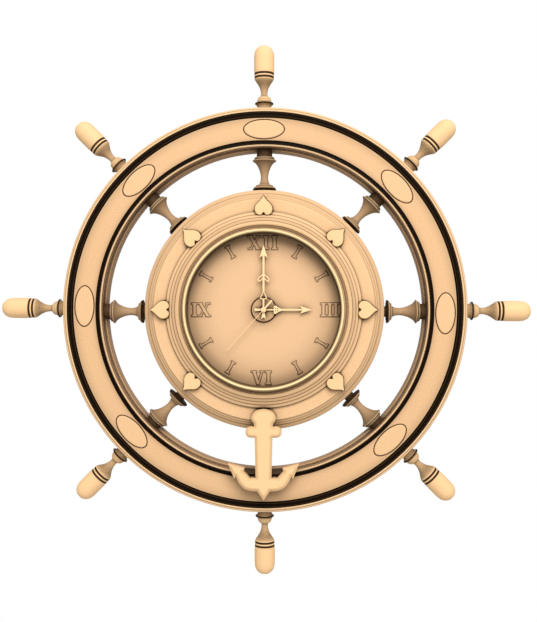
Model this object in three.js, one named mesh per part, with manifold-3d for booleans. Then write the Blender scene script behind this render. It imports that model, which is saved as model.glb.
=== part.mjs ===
// Ship's wheel wall clock with a quartz movement, in millimetres.
// +Z is up, +X is to the right and the dial looks along -Y. The wall is the plane y = 0,
// the origin is the wheel's centre on that plane, and every depth is measured from the wall.
import * as THREE from 'three';
import { mergeVertices } from 'three/addons/utils/BufferGeometryUtils.js';
import Module from 'manifold-3d';

const wasm = await Module();
wasm.setup();

// Fits
const seatGap = 0.3;
const stackGap = 0.1;
const turningGap = 0.2;
const overCut = 1;
const farAway = 400;

// Smoothness, as straight sides in a full turn
const rimSides = 48;
const hubSides = 40;
const spokeSides = 8;
const ovalSides = 20;
const smallSides = 12;
const pivotSides = 8;

// Wheel
const spokeCount = 8;
const anchorSpoke = 4;
const rimStandOff = 4;
const rimLayerThickness = 18;
const rimInnerRadius = 180.4;
const innerBeadWidth = 4.1;
const innerInlayWidth = 4.5;
const faceWidth = 25.1;
const outerInlayWidth = 7.3;
const outerBeadWidth = 5.2;
const beadRise = 0.3;
const rebateDepth = 2.5;
const inlayThickness = 1.6;
const rimEdgeRound = 1.6;
const rimLip = 0.6;
const coveDepth = 2.8;
const coveHeight = 9.5;
const coveLip = 2;
const beadSlope = 0.9;

// Handles, outside the rim
const handleNeckRadius = 9.6;
const handleNeckLength = 6;
const handleDiscRadius = 11.35;
const handleDiscThickness = 2.2;
const handleStepRadius = 9;
const handleStepLength = 3.2;
const handleStepTaper = 0.8;
const handleWaistRadius = 4.05;
const handleWaistLength = 7;
const handleWaistLead = 1.6;
const handleFlareLength = 17.6;
const handleGripRadius = 11.6;
const handleGrooveWidth = 2.4;
const handleGrooveDepth = 0.7;
const handleCollarRise = 0.2;
const handleCollarLength = 9;
const handleCapLength = 28.3;
const handleTenonRadius = 7;
const handleTenonLength = 20;

// Spindles, between the hub and the rim
const spindleNeckRadius = 5.7;
const spindleNeckLength = 3.8;
const spindleFlangeRadius = 14.15;
const spindleFlangeThickness = 4.2;
const spindleFlangeBevel = 1;
const spindleStepRadius = 10.7;
const spindleStepLength = 2.4;
const spindleStepTaper = 0.3;
const spindleThroatLength = 3;
const spindleThroatRise = 0.8;
const spindleWaistRadius = 4.65;
const spindleWaistLength = 4;
const spindleCollarRadius = 14.3;
const spindleCollarThickness = 2.2;
const spindleCollarSetBack = 9.6;
const spindleSocketRingRadius = 12.3;
const spindleSocketRingLength = 2.4;
const spindleRimNeckRadius = 9.5;
const spindleTenonRadius = 4.5;
const spindleTenonLength = 13;

// Hub
const hubFaceDepth = 50;
const bezelInnerRadius = 84.6;
const bezelWall = 3;
const bezelStandOut = 4;
const bezelRound = 1.4;
const innerMouldingWidth = 21.7;
const innerMouldingRise = 16;
const hubFlatWidth = 11.8;
const outerMouldingWidth = 12.6;
const outerMouldingDrop = 11;
const mouldingLipWidth = 0.7;
const recessRadius = 98;
const recessDepth = 42;
const hubFloorThickness = 5;
const hubEdgeRound = 1.5;

// Dial and its numerals
const dialThickness = 2.7;
const numeralRise = 0.8;
const batonInnerRadius = 66.2;
const batonLength = 14.2;
const batonWidth = 2.2;
const romanRadius = 73.6;
const romanHeight = 14.8;
const romanThick = 3.1;
const romanThin = 1.3;
const romanSpacing = 8.6;

// Oval plaques and hearts
const ovalLength = 45.6;
const ovalWidth = 22.3;
const ovalGroove = 1;
const ovalInset = 2.5;
const ovalRise = 0.2;
const heartThickness = 7;
const heartWidth = 20.8;
const heartLength = 22.6;
const heartOverlap = 5.6;

// Anchor
const anchorThickness = 10;
const anchorBevel = 1.2;
const anchorOverlap = 0.8;
const anchorHeadWidth = 26.8;
const anchorHeadHeight = 15.6;
const anchorNeckWidth = 20.6;
const anchorNeckHeight = 3.6;
const anchorStockWidth = 39.6;
const anchorStockHeight = 12.2;
const anchorShankWidth = 19.4;
const anchorShankEndWidth = 17.4;
const anchorCrownOverlap = 4.5;
const anchorArmSpan = 78.2;
const anchorArmRise = 16;
const anchorPointDrop = 24.4;

// Hands
const handThickness = 0.8;
const handGap = 1.4;
const handLap = 2.4;
const handTailLength = 10.2;
const bossRadius = 2.95;
const minuteHandLength = 71.3;
const minuteArmWidth = 1.9;
const minuteShaftWidth = 2.2;
const minuteArrowLength = 13;
const minuteArrowWidth = 8.9;
const minuteTailWidth = 4.8;
const minuteTailNotch = 2;
const kiteStart = 10.8;
const kiteLength = 11.2;
const kiteWidth = 7.8;
const kiteStroke = 1.1;
const leafStart = 30.7;
const leafLength = 11.3;
const leafWidth = 13;
const leafStroke = 1.2;
const hourHandLength = 53;
const hourArmWidth = 1.6;
const hourShaftWidth = 2;
const hourArrowLength = 12;
const hourArrowWidth = 8.5;
const hourTailWidth = 3.4;
const blockStart = 11.2;
const blockLength = 9.2;
const blockWidth = 9;
const blockEyeRadius = 0.55;
const arrowBarb = 1;
const secondHandLength = 59.5;
const secondHandWidth = 0.8;
const secondTipWidth = 0.6;
const secondTailLength = 13.8;
const secondTailWidth = 2.2;
const hourAngle = 90;
const secondAngle = 221.9;

// Arbors
const secondArborRadius = 0.45;
const minuteTubeWall = 0.5;
const tubeTail = 0.4;
const hourPipeWall = 0.55;
const bushWall = 1.25;
const arborRadius = 0.45;
const bushRise = 2.4;
const pivotDepth = 0.8;

// Movement case
const caseWall = 1.5;
const trainRoom = 13;
const bayWall = 1.2;
const batteryRadius = 7;
const batteryLength = 50.3;
const batteryNubRadius = 2.7;
const batteryNubLength = 1.2;
const contactThickness = 0.5;
const tongueSize = 4;
const contactSize = 11;
const contactRoom = 1.35;
const nutRadius = 13.2;
const nutThickness = 2;
const knobRadius = 5;
const knobThickness = 4;
const knobFloor = 1;
const nutEdge = 0.6;

// Hanger
const hangerThickness = 1;
const hangerWidth = 24;
const hangerBelow = 14;
const hangerWebHeight = 33;
const hangerTabDepth = 5;
const hangerTabHeight = 20;
const keyholeHeight = 39;
const keyholeRadius = 4.5;
const keyholeSlotWidth = 4.8;
const keyholeSlotLength = 7;

// Gear teeth and the distances between arbors
const teeth = {
  rotor: 6,
  intermediateWheel: 36,
  intermediatePinion: 6,
  secondWheel: 30,
  secondPinion: 6,
  thirdWheel: 45,
  thirdPinion: 6,
  centreWheel: 48,
  centrePinion: 10,
  reverseWheel: 30,
  reversePinion: 8,
  hourWheel: 32,
};
const intermediateDistance = 10.2;
const intermediateAngle = 0;
const rotorDistance = 8.4;
const rotorAngle = 50;
const thirdDistance = 10.2;
const thirdAngle = 270;
const reverseDistance = 10.4;
const reverseAngle = 90;
const toothTip = 0.7;
const toothRoot = 1;

// Movement layers: how far each one starts in front of the cover, and how thick it is
const layers = {
  rotorPinion: [0.4, 1],
  intermediateWheel: [0.5, 0.7],
  intermediatePinion: [1.1, 1.8],
  board: [1.5, 0.8],
  secondWheel: [1.7, 0.8],
  magnet: [1.9, 2.8],
  stator: [2.4, 0.8],
  secondPinion: [2.4, 2.3],
  thirdWheel: [3.4, 0.9],
  core: [3.5, 1],
  thirdPinion: [4.2, 2.6],
  centreWheel: [5.5, 0.9],
  middlePlate: [7.2, 0.8],
  centrePinion: [8.3, 2],
  reverseWheel: [8.7, 1],
  reversePinion: [9.6, 2.8],
  hourWheel: [11, 1],
};
const magnetRadius = 2.6;
const magnetGap = 0.5;
const coilRadius = 2.9;
const coilLength = 15;
const coilAcross = 21.5;
const coreWidth = 2.4;
const coreOverhang = 3;
const statorArm = 8;
const statorColumn = 3.5;
const statorGap = 1;
const statorRim = 0.7;
const boardWidth = 12.8;
const boardHeight = 18;
const chipSize = 5;
const chipThickness = 0.9;

// Radii worked out from the wheel's centre outwards
const innerInlayRadius = rimInnerRadius + innerBeadWidth;
const faceInnerRadius = innerInlayRadius + innerInlayWidth;
const outerInlayRadius = faceInnerRadius + faceWidth;
const outerBeadRadius = outerInlayRadius + outerInlayWidth;
const rimOuterRadius = outerBeadRadius + outerBeadWidth;
const pocketRadius = bezelInnerRadius + bezelWall + seatGap;
const hubFlatInner = pocketRadius + innerMouldingWidth;
const hubFlatOuter = hubFlatInner + hubFlatWidth;
const hubRadius = hubFlatOuter + outerMouldingWidth;

// Depths worked out from the wall
const spokeDepth = rimStandOff + rimLayerThickness;
const rimFaceDepth = spokeDepth + rimLayerThickness;
const floorFront = recessDepth + hubFloorThickness;
const bezelTopDepth = hubFaceDepth + innerMouldingRise + bezelStandOut;
const heartTopDepth = hubFaceDepth + heartThickness;
const anchorTopDepth = hubFaceDepth + anchorThickness;
const dialBack = floorFront + seatGap;
const dialFront = dialBack + dialThickness;
const nutBack = dialFront + seatGap;
const caseSize = batteryLength + 2 * (contactRoom + caseWall);
const caseDepth = trainRoom + 2 * caseWall;
const hangerBack = recessDepth - stackGap - hangerThickness;
const caseFront = hangerBack - stackGap;
const caseBack = caseFront - caseDepth;
const coverFront = caseBack + caseWall;
const caseInside = caseFront - caseWall;
const bushTop = dialFront + bushRise;
const hourPipeTop = bushTop + handGap + handThickness;
const minuteTubeTop = hourPipeTop + handGap + handThickness;
const secondArborTop = minuteTubeTop + handGap + handThickness;

// Radii of the nested arbors
const minuteTubeBore = secondArborRadius + turningGap;
const minuteTubeRadius = minuteTubeBore + minuteTubeWall;
const hourPipeBore = minuteTubeRadius + turningGap;
const hourPipeRadius = hourPipeBore + hourPipeWall;
const bushBore = hourPipeRadius + turningGap;
const bushRadius = bushBore + bushWall;
const bushHole = bushRadius + turningGap;
const pivotHole = arborRadius + turningGap;

// Materials
const woodLight = finish(0xf2cd9c, 0.6, 0);
const woodCream = finish(0xf7dcae, 0.55, 0);
const woodBrown = finish(0xb8926a, 0.6, 0);
const blackPaint = finish(0x15100b, 0.45, 0);
const brassBright = finish(0xf3d9a0, 0.35, 0.8);
const plasticDark = finish(0x2a2a2c, 0.6, 0);
const plasticPale = finish(0xe6e2d8, 0.5, 0);
const steel = finish(0xb9bcc0, 0.35, 0.9);
const copper = finish(0xb5622c, 0.4, 0.7);
const boardGreen = finish(0x2f6b46, 0.6, 0);
const batteryGrey = finish(0x6f747a, 0.4, 0.3);

const clock = new THREE.Group();

// Helpers

function finish(color, roughness, metalness) {
  return new THREE.MeshStandardMaterial({ color, roughness, metalness });
}

function radians(degrees) {
  return THREE.MathUtils.degToRad(degrees);
}

function signedVolume(position, index) {
  const a = new THREE.Vector3();
  const b = new THREE.Vector3();
  const c = new THREE.Vector3();
  let volume = 0;
  for (let i = 0; i < index.length; i += 3) {
    a.fromBufferAttribute(position, index[i]);
    b.fromBufferAttribute(position, index[i + 1]);
    c.fromBufferAttribute(position, index[i + 2]);
    volume += a.dot(b.cross(c)) / 6;
  }
  return volume;
}

// A closed surface with shared vertices and its faces pointing out.
function closedBody(geometry) {
  const bare = geometry.clone();
  bare.deleteAttribute('normal');
  bare.deleteAttribute('uv');
  const merged = mergeVertices(bare);
  const kept = [];
  const all = merged.index.array;
  for (let i = 0; i < all.length; i += 3) {
    const [a, b, c] = [all[i], all[i + 1], all[i + 2]];
    if (a !== b && b !== c && c !== a) kept.push(a, b, c);
  }
  if (signedVolume(merged.attributes.position, kept) < 0) kept.reverse();
  merged.setIndex(kept);
  return merged;
}

function toSolid(geometry) {
  const body = closedBody(geometry);
  const vertProperties = new Float32Array(body.attributes.position.array);
  const triVerts = new Uint32Array(body.index.array);
  return new wasm.Manifold(new wasm.Mesh({ numProp: 3, vertProperties, triVerts }));
}

function fromSolid(solid) {
  const mesh = solid.getMesh();
  const geometry = new THREE.BufferGeometry();
  geometry.setAttribute('position', new THREE.BufferAttribute(new Float32Array(mesh.vertProperties), 3));
  geometry.setIndex(Array.from(mesh.triVerts));
  return geometry;
}

function joined(...geometries) {
  return fromSolid(geometries.map(toSolid).reduce((sum, next) => sum.add(next)));
}

function cut(geometry, ...cutters) {
  const tool = cutters.map(toSolid).reduce((sum, next) => sum.add(next));
  return fromSolid(toSolid(geometry).subtract(tool));
}

function common(geometry, other) {
  return fromSolid(toSolid(geometry).intersect(toSolid(other)));
}

// A profile of [radius, depth] pairs turned about the wheel's axis. An open profile ends on the axis.
function turned(profile, sides) {
  const points = profile.map(([radius, depth]) => new THREE.Vector2(radius, -depth));
  return closedBody(new THREE.LatheGeometry(points, sides));
}

function ring(innerRadius, outerRadius, back, front, sides) {
  const profile = [[innerRadius, back], [outerRadius, back], [outerRadius, front], [innerRadius, front]];
  return turned([...profile, profile[0]], sides);
}

function disc(radius, back, front, sides) {
  return turned([[0, back], [radius, back], [radius, front], [0, front]], sides);
}

// A profile of [distance along +Z, radius] pairs turned about Z, for what stands on a spoke's line.
function turnedAlongSpoke(profile) {
  const points = profile.map(([along, radius]) => new THREE.Vector2(radius, along));
  const geometry = new THREE.LatheGeometry(points, spokeSides);
  geometry.rotateX(Math.PI / 2);
  return closedBody(geometry);
}

function outline(points) {
  return new THREE.Shape(points.map(([x, z]) => new THREE.Vector2(x, z)));
}

// The right half of an outline, from top to bottom or back, and its mirror image.
function mirrored(half) {
  const left = half.filter(([x]) => x !== 0).map(([x, z]) => [-x, z]).reverse();
  return [...half, ...left];
}

// A flat plate that faces the front: its outline lies in X and Z.
function plate(shape, back, front, curveSegments = 6) {
  const settings = { depth: front - back, bevelEnabled: false, curveSegments };
  const geometry = new THREE.ExtrudeGeometry(shape, settings);
  geometry.translate(0, 0, back);
  geometry.rotateX(Math.PI / 2);
  return closedBody(geometry);
}

function bevelledPlate(shape, back, front, bevel) {
  const settings = {
    depth: front - back - bevel,
    bevelThickness: bevel,
    bevelSize: bevel,
    bevelOffset: -bevel,
    bevelSegments: 1,
    curveSegments: 6,
  };
  const geometry = new THREE.ExtrudeGeometry(shape, settings);
  geometry.translate(0, 0, back);
  geometry.rotateX(Math.PI / 2);
  const behind = block(-farAway, farAway, back - bevel - overCut, back, -farAway, farAway);
  return cut(geometry, behind);
}

function block(left, right, back, front, bottom, top) {
  const geometry = new THREE.BoxGeometry(right - left, front - back, top - bottom);
  geometry.translate((left + right) / 2, -(back + front) / 2, (bottom + top) / 2);
  return closedBody(geometry);
}

function circleShape(x, z, radius, sides) {
  const points = [];
  for (let i = 0; i < sides; i++) {
    const turn = (i / sides) * Math.PI * 2;
    points.push([x + radius * Math.sin(turn), z + radius * Math.cos(turn)]);
  }
  return outline(points);
}

function pin(x, z, radius, back, front, sides = pivotSides) {
  return plate(circleShape(x, z, radius, sides), back, front);
}

function turnedBy(geometry, degrees) {
  return geometry.clone().rotateY(radians(degrees));
}

function add(name, geometry, material, angle = 0) {
  const mesh = new THREE.Mesh(geometry, material);
  mesh.name = name;
  mesh.rotation.y = radians(angle);
  clock.add(mesh);
}

function spokeAngle(spoke) {
  return (spoke * 360) / spokeCount;
}

function spokesWithoutAnchor() {
  return [...Array(spokeCount).keys()].filter((spoke) => spoke !== anchorSpoke);
}

// Rim

const handleTenonEnd = rimOuterRadius - handleTenonLength;
const spindleRimEnd = rimInnerRadius + coveDepth + spindleTenonLength;
const spindleHubEnd = hubRadius - spindleTenonLength;

function spokeSocket(from, to, radius, spoke) {
  const bore = turnedAlongSpoke([[from, 0], [from, radius], [to, radius], [to, 0]]);
  bore.translate(0, -spokeDepth, 0);
  return turnedBy(bore, spokeAngle(spoke));
}

function rimSockets() {
  const sockets = [];
  for (let spoke = 0; spoke < spokeCount; spoke++) {
    const start = handleTenonEnd - seatGap;
    sockets.push(spokeSocket(start, rimOuterRadius + overCut, handleTenonRadius + seatGap, spoke));
  }
  for (const spoke of spokesWithoutAnchor()) {
    const end = spindleRimEnd + seatGap;
    sockets.push(spokeSocket(rimInnerRadius - overCut, end, spindleTenonRadius + seatGap, spoke));
    const neckEnd = rimInnerRadius + coveDepth + seatGap;
    sockets.push(spokeSocket(rimInnerRadius - overCut, neckEnd, spindleRimNeckRadius + seatGap, spoke));
  }
  return sockets;
}

function rimBackRing() {
  const profile = [
    [rimInnerRadius, rimStandOff + rimEdgeRound],
    [rimInnerRadius + rimEdgeRound, rimStandOff],
    [rimOuterRadius - rimEdgeRound, rimStandOff],
    [rimOuterRadius, rimStandOff + rimEdgeRound],
    [rimOuterRadius, spokeDepth],
    [rimInnerRadius, spokeDepth],
  ];
  return cut(turned([...profile, profile[0]], rimSides), ...rimSockets());
}

function rimFrontRing() {
  const floor = rimFaceDepth - rebateDepth;
  const beadTop = rimFaceDepth + beadRise;
  const coveBack = rimFaceDepth - rebateDepth - coveHeight;
  const profile = [
    [rimInnerRadius, spokeDepth],
    [rimInnerRadius + coveDepth, coveBack],
    [rimInnerRadius + coveDepth, floor - coveLip],
    [rimInnerRadius + innerBeadWidth * 0.3, floor],
    [rimInnerRadius + innerBeadWidth * 0.6, beadTop],
    [innerInlayRadius, beadTop - beadSlope],
    [innerInlayRadius, floor],
    [faceInnerRadius, floor],
    [faceInnerRadius, rimFaceDepth],
    [outerInlayRadius, rimFaceDepth],
    [outerInlayRadius, floor],
    [outerBeadRadius, floor],
    [outerBeadRadius, beadTop - beadSlope],
    [outerBeadRadius + outerBeadWidth * 0.35, beadTop],
    [rimOuterRadius - outerBeadWidth * 0.08, beadTop - beadSlope],
    [rimOuterRadius + rimLip, floor - rimLip],
    [rimOuterRadius, floor - 5 * rimLip],
    [rimOuterRadius, spokeDepth],
  ];
  const pockets = [];
  for (const spoke of spokesWithoutAnchor()) {
    const pocket = plate(ovalShape(ovalGroove), rimFaceDepth - ovalInset, rimFaceDepth + overCut);
    pockets.push(turnedBy(pocket, spokeAngle(spoke)));
  }
  return cut(turned([...profile, profile[0]], rimSides), ...rimSockets(), ...pockets);
}

function rimInlay(startRadius, width) {
  const back = rimFaceDepth - rebateDepth + seatGap;
  const inner = startRadius + seatGap;
  const outer = startRadius + width - seatGap;
  const edge = back + inlayThickness * 0.6;
  const top = back + inlayThickness;
  const profile = [[inner, back], [outer, back], [outer, edge], [(inner + outer) / 2, top], [inner, edge]];
  return turned([...profile, profile[0]], rimSides);
}

// The oval's outline, grown by a margin, with its centre on the middle of the rim's face.
function ovalShape(margin) {
  const centre = faceInnerRadius + faceWidth / 2;
  const points = [];
  for (let i = 0; i < ovalSides; i++) {
    const turn = (i / ovalSides) * Math.PI * 2;
    points.push([
      (ovalLength / 2 + margin) * Math.sin(turn),
      centre + (ovalWidth / 2 + margin) * Math.cos(turn),
    ]);
  }
  return outline(points);
}

function ovalPlate() {
  return plate(ovalShape(0), rimFaceDepth - ovalInset + seatGap, rimFaceDepth + ovalRise);
}

// Handles and spindles

function handle() {
  const neck = rimOuterRadius + seatGap;
  const discStart = neck + handleNeckLength;
  const discEnd = discStart + handleDiscThickness;
  const waist = discEnd + handleStepLength;
  const flare = waist + handleWaistLength;
  const grip = flare + handleFlareLength;
  const cap = grip + handleCollarLength;
  const tip = cap + handleCapLength;
  const flareRise = handleGripRadius - handleWaistRadius;
  return turnedAlongSpoke([
    [handleTenonEnd, 0],
    [handleTenonEnd, handleTenonRadius],
    [neck, handleTenonRadius],
    [neck, handleNeckRadius],
    [discStart, handleNeckRadius],
    [discStart, handleDiscRadius],
    [discEnd, handleDiscRadius],
    [discEnd, handleStepRadius],
    [waist, handleStepRadius - handleStepTaper],
    [flare - handleWaistLead, handleWaistRadius],
    [flare + handleFlareLength * 0.4, handleWaistRadius + flareRise * 0.23],
    [flare + handleFlareLength * 0.8, handleWaistRadius + flareRise * 0.8],
    [grip, handleGripRadius],
    [grip + handleGrooveWidth / 2, handleGripRadius - handleGrooveDepth],
    [grip + handleGrooveWidth, handleGripRadius + handleCollarRise],
    [tip - handleGripRadius, handleGripRadius],
    [tip - handleGripRadius * 0.4, handleGripRadius * 0.8],
    [tip, 0],
  ]);
}

function spindle() {
  const neck = hubRadius + seatGap;
  const flange = neck + spindleNeckLength;
  const step = flange + spindleFlangeThickness;
  const throat = step + spindleStepLength;
  const waist = throat + spindleThroatLength;
  const collar = rimInnerRadius - spindleCollarSetBack;
  const ringStart = collar + spindleCollarThickness;
  const ringEnd = ringStart + spindleSocketRingLength;
  const flareStart = waist + spindleWaistLength;
  const flareRise = spindleCollarRadius - spindleWaistRadius;
  const rimShoulder = rimInnerRadius + coveDepth;
  return turnedAlongSpoke([
    [spindleHubEnd, 0],
    [spindleHubEnd, spindleTenonRadius],
    [neck, spindleTenonRadius],
    [neck, spindleNeckRadius],
    [flange, spindleNeckRadius],
    [flange, spindleFlangeRadius],
    [step, spindleFlangeRadius - spindleFlangeBevel],
    [step, spindleStepRadius],
    [throat, spindleStepRadius - spindleStepTaper],
    [waist, spindleWaistRadius + spindleThroatRise],
    [flareStart, spindleWaistRadius],
    [flareStart + (collar - flareStart) * 0.55, spindleWaistRadius + flareRise * 0.25],
    [collar, spindleCollarRadius],
    [ringStart, spindleSocketRingRadius],
    [ringEnd, spindleSocketRingRadius],
    [ringEnd, spindleRimNeckRadius],
    [rimShoulder, spindleRimNeckRadius],
    [rimShoulder, spindleTenonRadius],
    [spindleRimEnd, spindleTenonRadius],
    [spindleRimEnd, 0],
  ]);
}

// Hub

// Steps of the mouldings, from the dial outwards, as shares of their widths and heights.
const innerSteps = [
  [0.9, 0.69], [0.69, 0.66], [0.62, 0.5], [0.51, 0.48], [0.42, 0.3], [0.18, 0.28], [0.07, 0.04],
];
const outerSteps = [[0.29, 0.09], [0.41, 0.36], [0.76, 0.45]];

function hubProfile(grow) {
  const flat = hubFaceDepth + grow;
  const inner = hubFlatInner + grow;
  const outer = hubFlatOuter + grow;
  const lip = flat + innerMouldingRise;
  const innerPoints = innerSteps.map(([out, up]) => (
    [inner - out * innerMouldingWidth, flat + up * innerMouldingRise]
  ));
  const outerPoints = outerSteps.map(([out, down]) => (
    [outer + out * outerMouldingWidth, flat - down * outerMouldingDrop]
  ));
  return [
    [pocketRadius - grow, lip],
    [pocketRadius + mouldingLipWidth + grow, lip],
    ...innerPoints,
    [inner, flat],
    [outer, flat],
    ...outerPoints,
    [hubRadius + grow, flat - outerMouldingDrop],
  ];
}

function hubBody() {
  const profile = [
    ...hubProfile(0),
    [hubRadius, hubEdgeRound],
    [hubRadius - hubEdgeRound, 0],
    [recessRadius, 0],
    [recessRadius, recessDepth],
    [bushHole, recessDepth],
    [bushHole, floorFront],
    [pocketRadius, floorFront],
  ];
  const sockets = spokesWithoutAnchor().map((spoke) => {
    const end = hubRadius + overCut;
    return spokeSocket(spindleHubEnd - seatGap, end, spindleTenonRadius + seatGap, spoke);
  });
  return cut(turned([...profile, profile[0]], hubSides), ...sockets);
}

function bezelRing() {
  const back = dialFront + seatGap;
  const outer = bezelInnerRadius + bezelWall;
  const profile = [
    [bezelInnerRadius, back],
    [outer, back],
    [outer, bezelTopDepth - bezelRound],
    [outer - bezelRound * 0.6, bezelTopDepth],
    [bezelInnerRadius + bezelRound * 0.6, bezelTopDepth],
    [bezelInnerRadius, bezelTopDepth - bezelRound],
  ];
  return turned([...profile, profile[0]], hubSides);
}

// Dial

function stroke(x0, z0, x1, z1, width) {
  const half = width / 2;
  return outline([[x0 - half, z0], [x0 + half, z0], [x1 + half, z1], [x1 - half, z1]]);
}

function romanStrokes(text) {
  const strokes = [];
  const bottom = -romanHeight / 2;
  const top = romanHeight / 2;
  const arm = romanHeight * 0.36;
  const widths = [...text].map((letter) => (letter === 'I' ? romanSpacing * 0.72 : romanSpacing * 1.32));
  let x = -widths.reduce((sum, width) => sum + width, 0) / 2;
  [...text].forEach((letter, i) => {
    const middle = x + widths[i] / 2;
    if (letter === 'I') strokes.push(stroke(middle, bottom, middle, top, romanThick));
    if (letter === 'X') {
      strokes.push(stroke(middle + arm, bottom, middle - arm, top, romanThick));
      strokes.push(stroke(middle - arm, bottom, middle + arm, top, romanThin));
    }
    if (letter === 'V') {
      const foot = middle + romanThick * 0.13;
      strokes.push(stroke(foot, bottom, middle - arm, top, romanThick));
      strokes.push(stroke(foot, bottom, middle + arm, top, romanThin));
    }
    x += widths[i];
  });
  return strokes;
}

function dialPlate() {
  const radius = pocketRadius - seatGap;
  const rise = dialFront + numeralRise;
  const face = ring(bushHole, radius, dialBack, dialFront, hubSides);
  const marks = [];
  for (let hour = 0; hour < 12; hour++) {
    if (hour % 3 === 0) continue;
    const top = batonInnerRadius + batonLength;
    const baton = plate(stroke(0, batonInnerRadius, 0, top, batonWidth), dialFront - overCut, rise);
    marks.push(turnedBy(baton, hour * 30));
  }
  const numerals = { 0: 'XII', 90: 'III', 180: 'VI', 270: 'IX' };
  for (const [angle, text] of Object.entries(numerals)) {
    const x = romanRadius * Math.sin(radians(Number(angle)));
    const z = romanRadius * Math.cos(radians(Number(angle)));
    for (const shape of romanStrokes(text)) {
      marks.push(plate(shape, dialFront - overCut, rise).translate(x, 0, z));
    }
  }
  return joined(face, ...marks);
}

// Hearts and anchor: half outlines, as shares of half a width and of a height

const heartHalf = [
  [0, 0.16], [0.17, 0.04], [0.46, 0], [0.77, 0.05], [0.97, 0.2],
  [1, 0.38], [0.85, 0.53], [0.48, 0.67], [0.21, 0.81], [0, 1],
];
const anchorHeadHalf = [[0, 0], [0.49, 0.08], [0.87, 0.31], [1, 0.58], [0.94, 0.79]];
const anchorStockHalf = [[0.74, 0], [0.94, 0.16], [1, 0.5], [0.92, 0.84], [0.72, 1]];
const anchorArmHalf = [
  [0.38, -0.01], [0.56, 0.45], [0.53, 0.69], [1, 1], [0.82, -0.05], [0.78, 0.11],
  [0.67, -0.43], [0.55, -0.74], [0.41, -0.85], [0.18, -0.9],
];

// Shares of half a width and of a height, as points that start at z and rise with a height above 0.
function scaled(half, width, height, z) {
  return half.map(([x, up]) => [(x * width) / 2, z + up * height]);
}

// The lobes lie over the innermost moulding's foot, and the tip points away from the dial.
function heart() {
  const shape = outline(mirrored(scaled(heartHalf, heartWidth, heartLength, hubFlatInner - heartOverlap)));
  return plate(shape, hubFaceDepth + seatGap, heartTopDepth);
}

function heartOnHub(spoke) {
  const placed = turnedBy(heart(), spokeAngle(spoke));
  const profile = [...hubProfile(seatGap), [hubRadius, recessDepth], [pocketRadius, recessDepth]];
  return cut(placed, turned([...profile, profile[0]], hubSides));
}

function anchorOutline() {
  const head = anchorOverlap - hubFlatInner;
  const neck = head - anchorHeadHeight;
  const stock = neck - anchorNeckHeight;
  const shank = stock - anchorStockHeight;
  const crown = anchorCrownOverlap - faceInnerRadius;
  return outline(mirrored([
    ...scaled(anchorHeadHalf, anchorHeadWidth, -anchorHeadHeight, head),
    [anchorNeckWidth / 2, neck],
    [anchorNeckWidth / 2, stock],
    ...scaled(anchorStockHalf, anchorStockWidth, -anchorStockHeight, stock),
    [anchorShankWidth / 2, shank],
    [anchorShankEndWidth / 2, crown],
    ...scaled(anchorArmHalf, anchorArmSpan, anchorArmRise, crown),
    [0, crown - anchorPointDrop],
  ]));
}

// The anchor's head rests on the hub's flat and its crown steps down to the rim's face.
function anchor() {
  const shape = anchorOutline();
  const body = bevelledPlate(shape, hubFaceDepth + seatGap, anchorTopDepth, anchorBevel);
  const footBack = rimFaceDepth + beadRise + seatGap;
  const foot = plate(shape, footBack, hubFaceDepth + seatGap + overCut);
  const overRim = block(
    -farAway, farAway, footBack - overCut, anchorTopDepth, -rimOuterRadius, -rimInnerRadius,
  );
  return joined(body, common(foot, overRim));
}

// Hands: each is drawn pointing up and then turned

function boss() {
  return circleShape(0, 0, bossRadius, smallSides);
}

function arrowHead(tip, length, width, shaft) {
  const base = tip - length;
  const barbs = [width / 2, base - arrowBarb];
  return outline(mirrored([[0, tip], barbs, [shaft / 2, base + arrowBarb], [0, base]]));
}

// The same outline drawn smaller about its middle, to open up a leaf or a kite.
function opening(points, strokeWidth) {
  const middle = points.reduce((sum, [, z]) => sum + z, 0) / points.length;
  const widest = Math.max(...points.map(([x]) => x));
  const share = 1 - (strokeWidth * 1.3) / widest;
  return outline(mirrored(points).map(([x, z]) => [x * share, middle + (z - middle) * share]));
}

function bar(bottom, top, width, endWidth = width) {
  return outline([[-width / 2, bottom], [width / 2, bottom], [endWidth / 2, top], [-endWidth / 2, top]]);
}

function handFrom(shapes, openings, back, bossHole) {
  const front = back + handThickness;
  const plates = shapes.map((shape) => plate(shape, back, front));
  const cutters = openings.map((shape) => plate(shape, back - overCut, front + overCut));
  return cut(joined(...plates), ...cutters, pin(0, 0, bossHole, back - overCut, front + overCut, smallSides));
}

// Half outlines and holes of the hands' ornaments, as shares of half a width and of a length
const leafHalf = [[0, 1], [0.37, 0.68], [1, 0.35], [0.86, 0.04], [0.4, 0], [0, 0.17]];
const kiteHalf = [[0, 1], [1, 0.18], [0, 0]];
const blockHalf = [[0, 1], [0.22, 0.98], [1, 0.13], [0.84, 0], [0, 0.07]];
const blockEyes = [[-0.29, 0.24], [0.29, 0.24], [-0.22, 0.5], [0.22, 0.5]];

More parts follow.
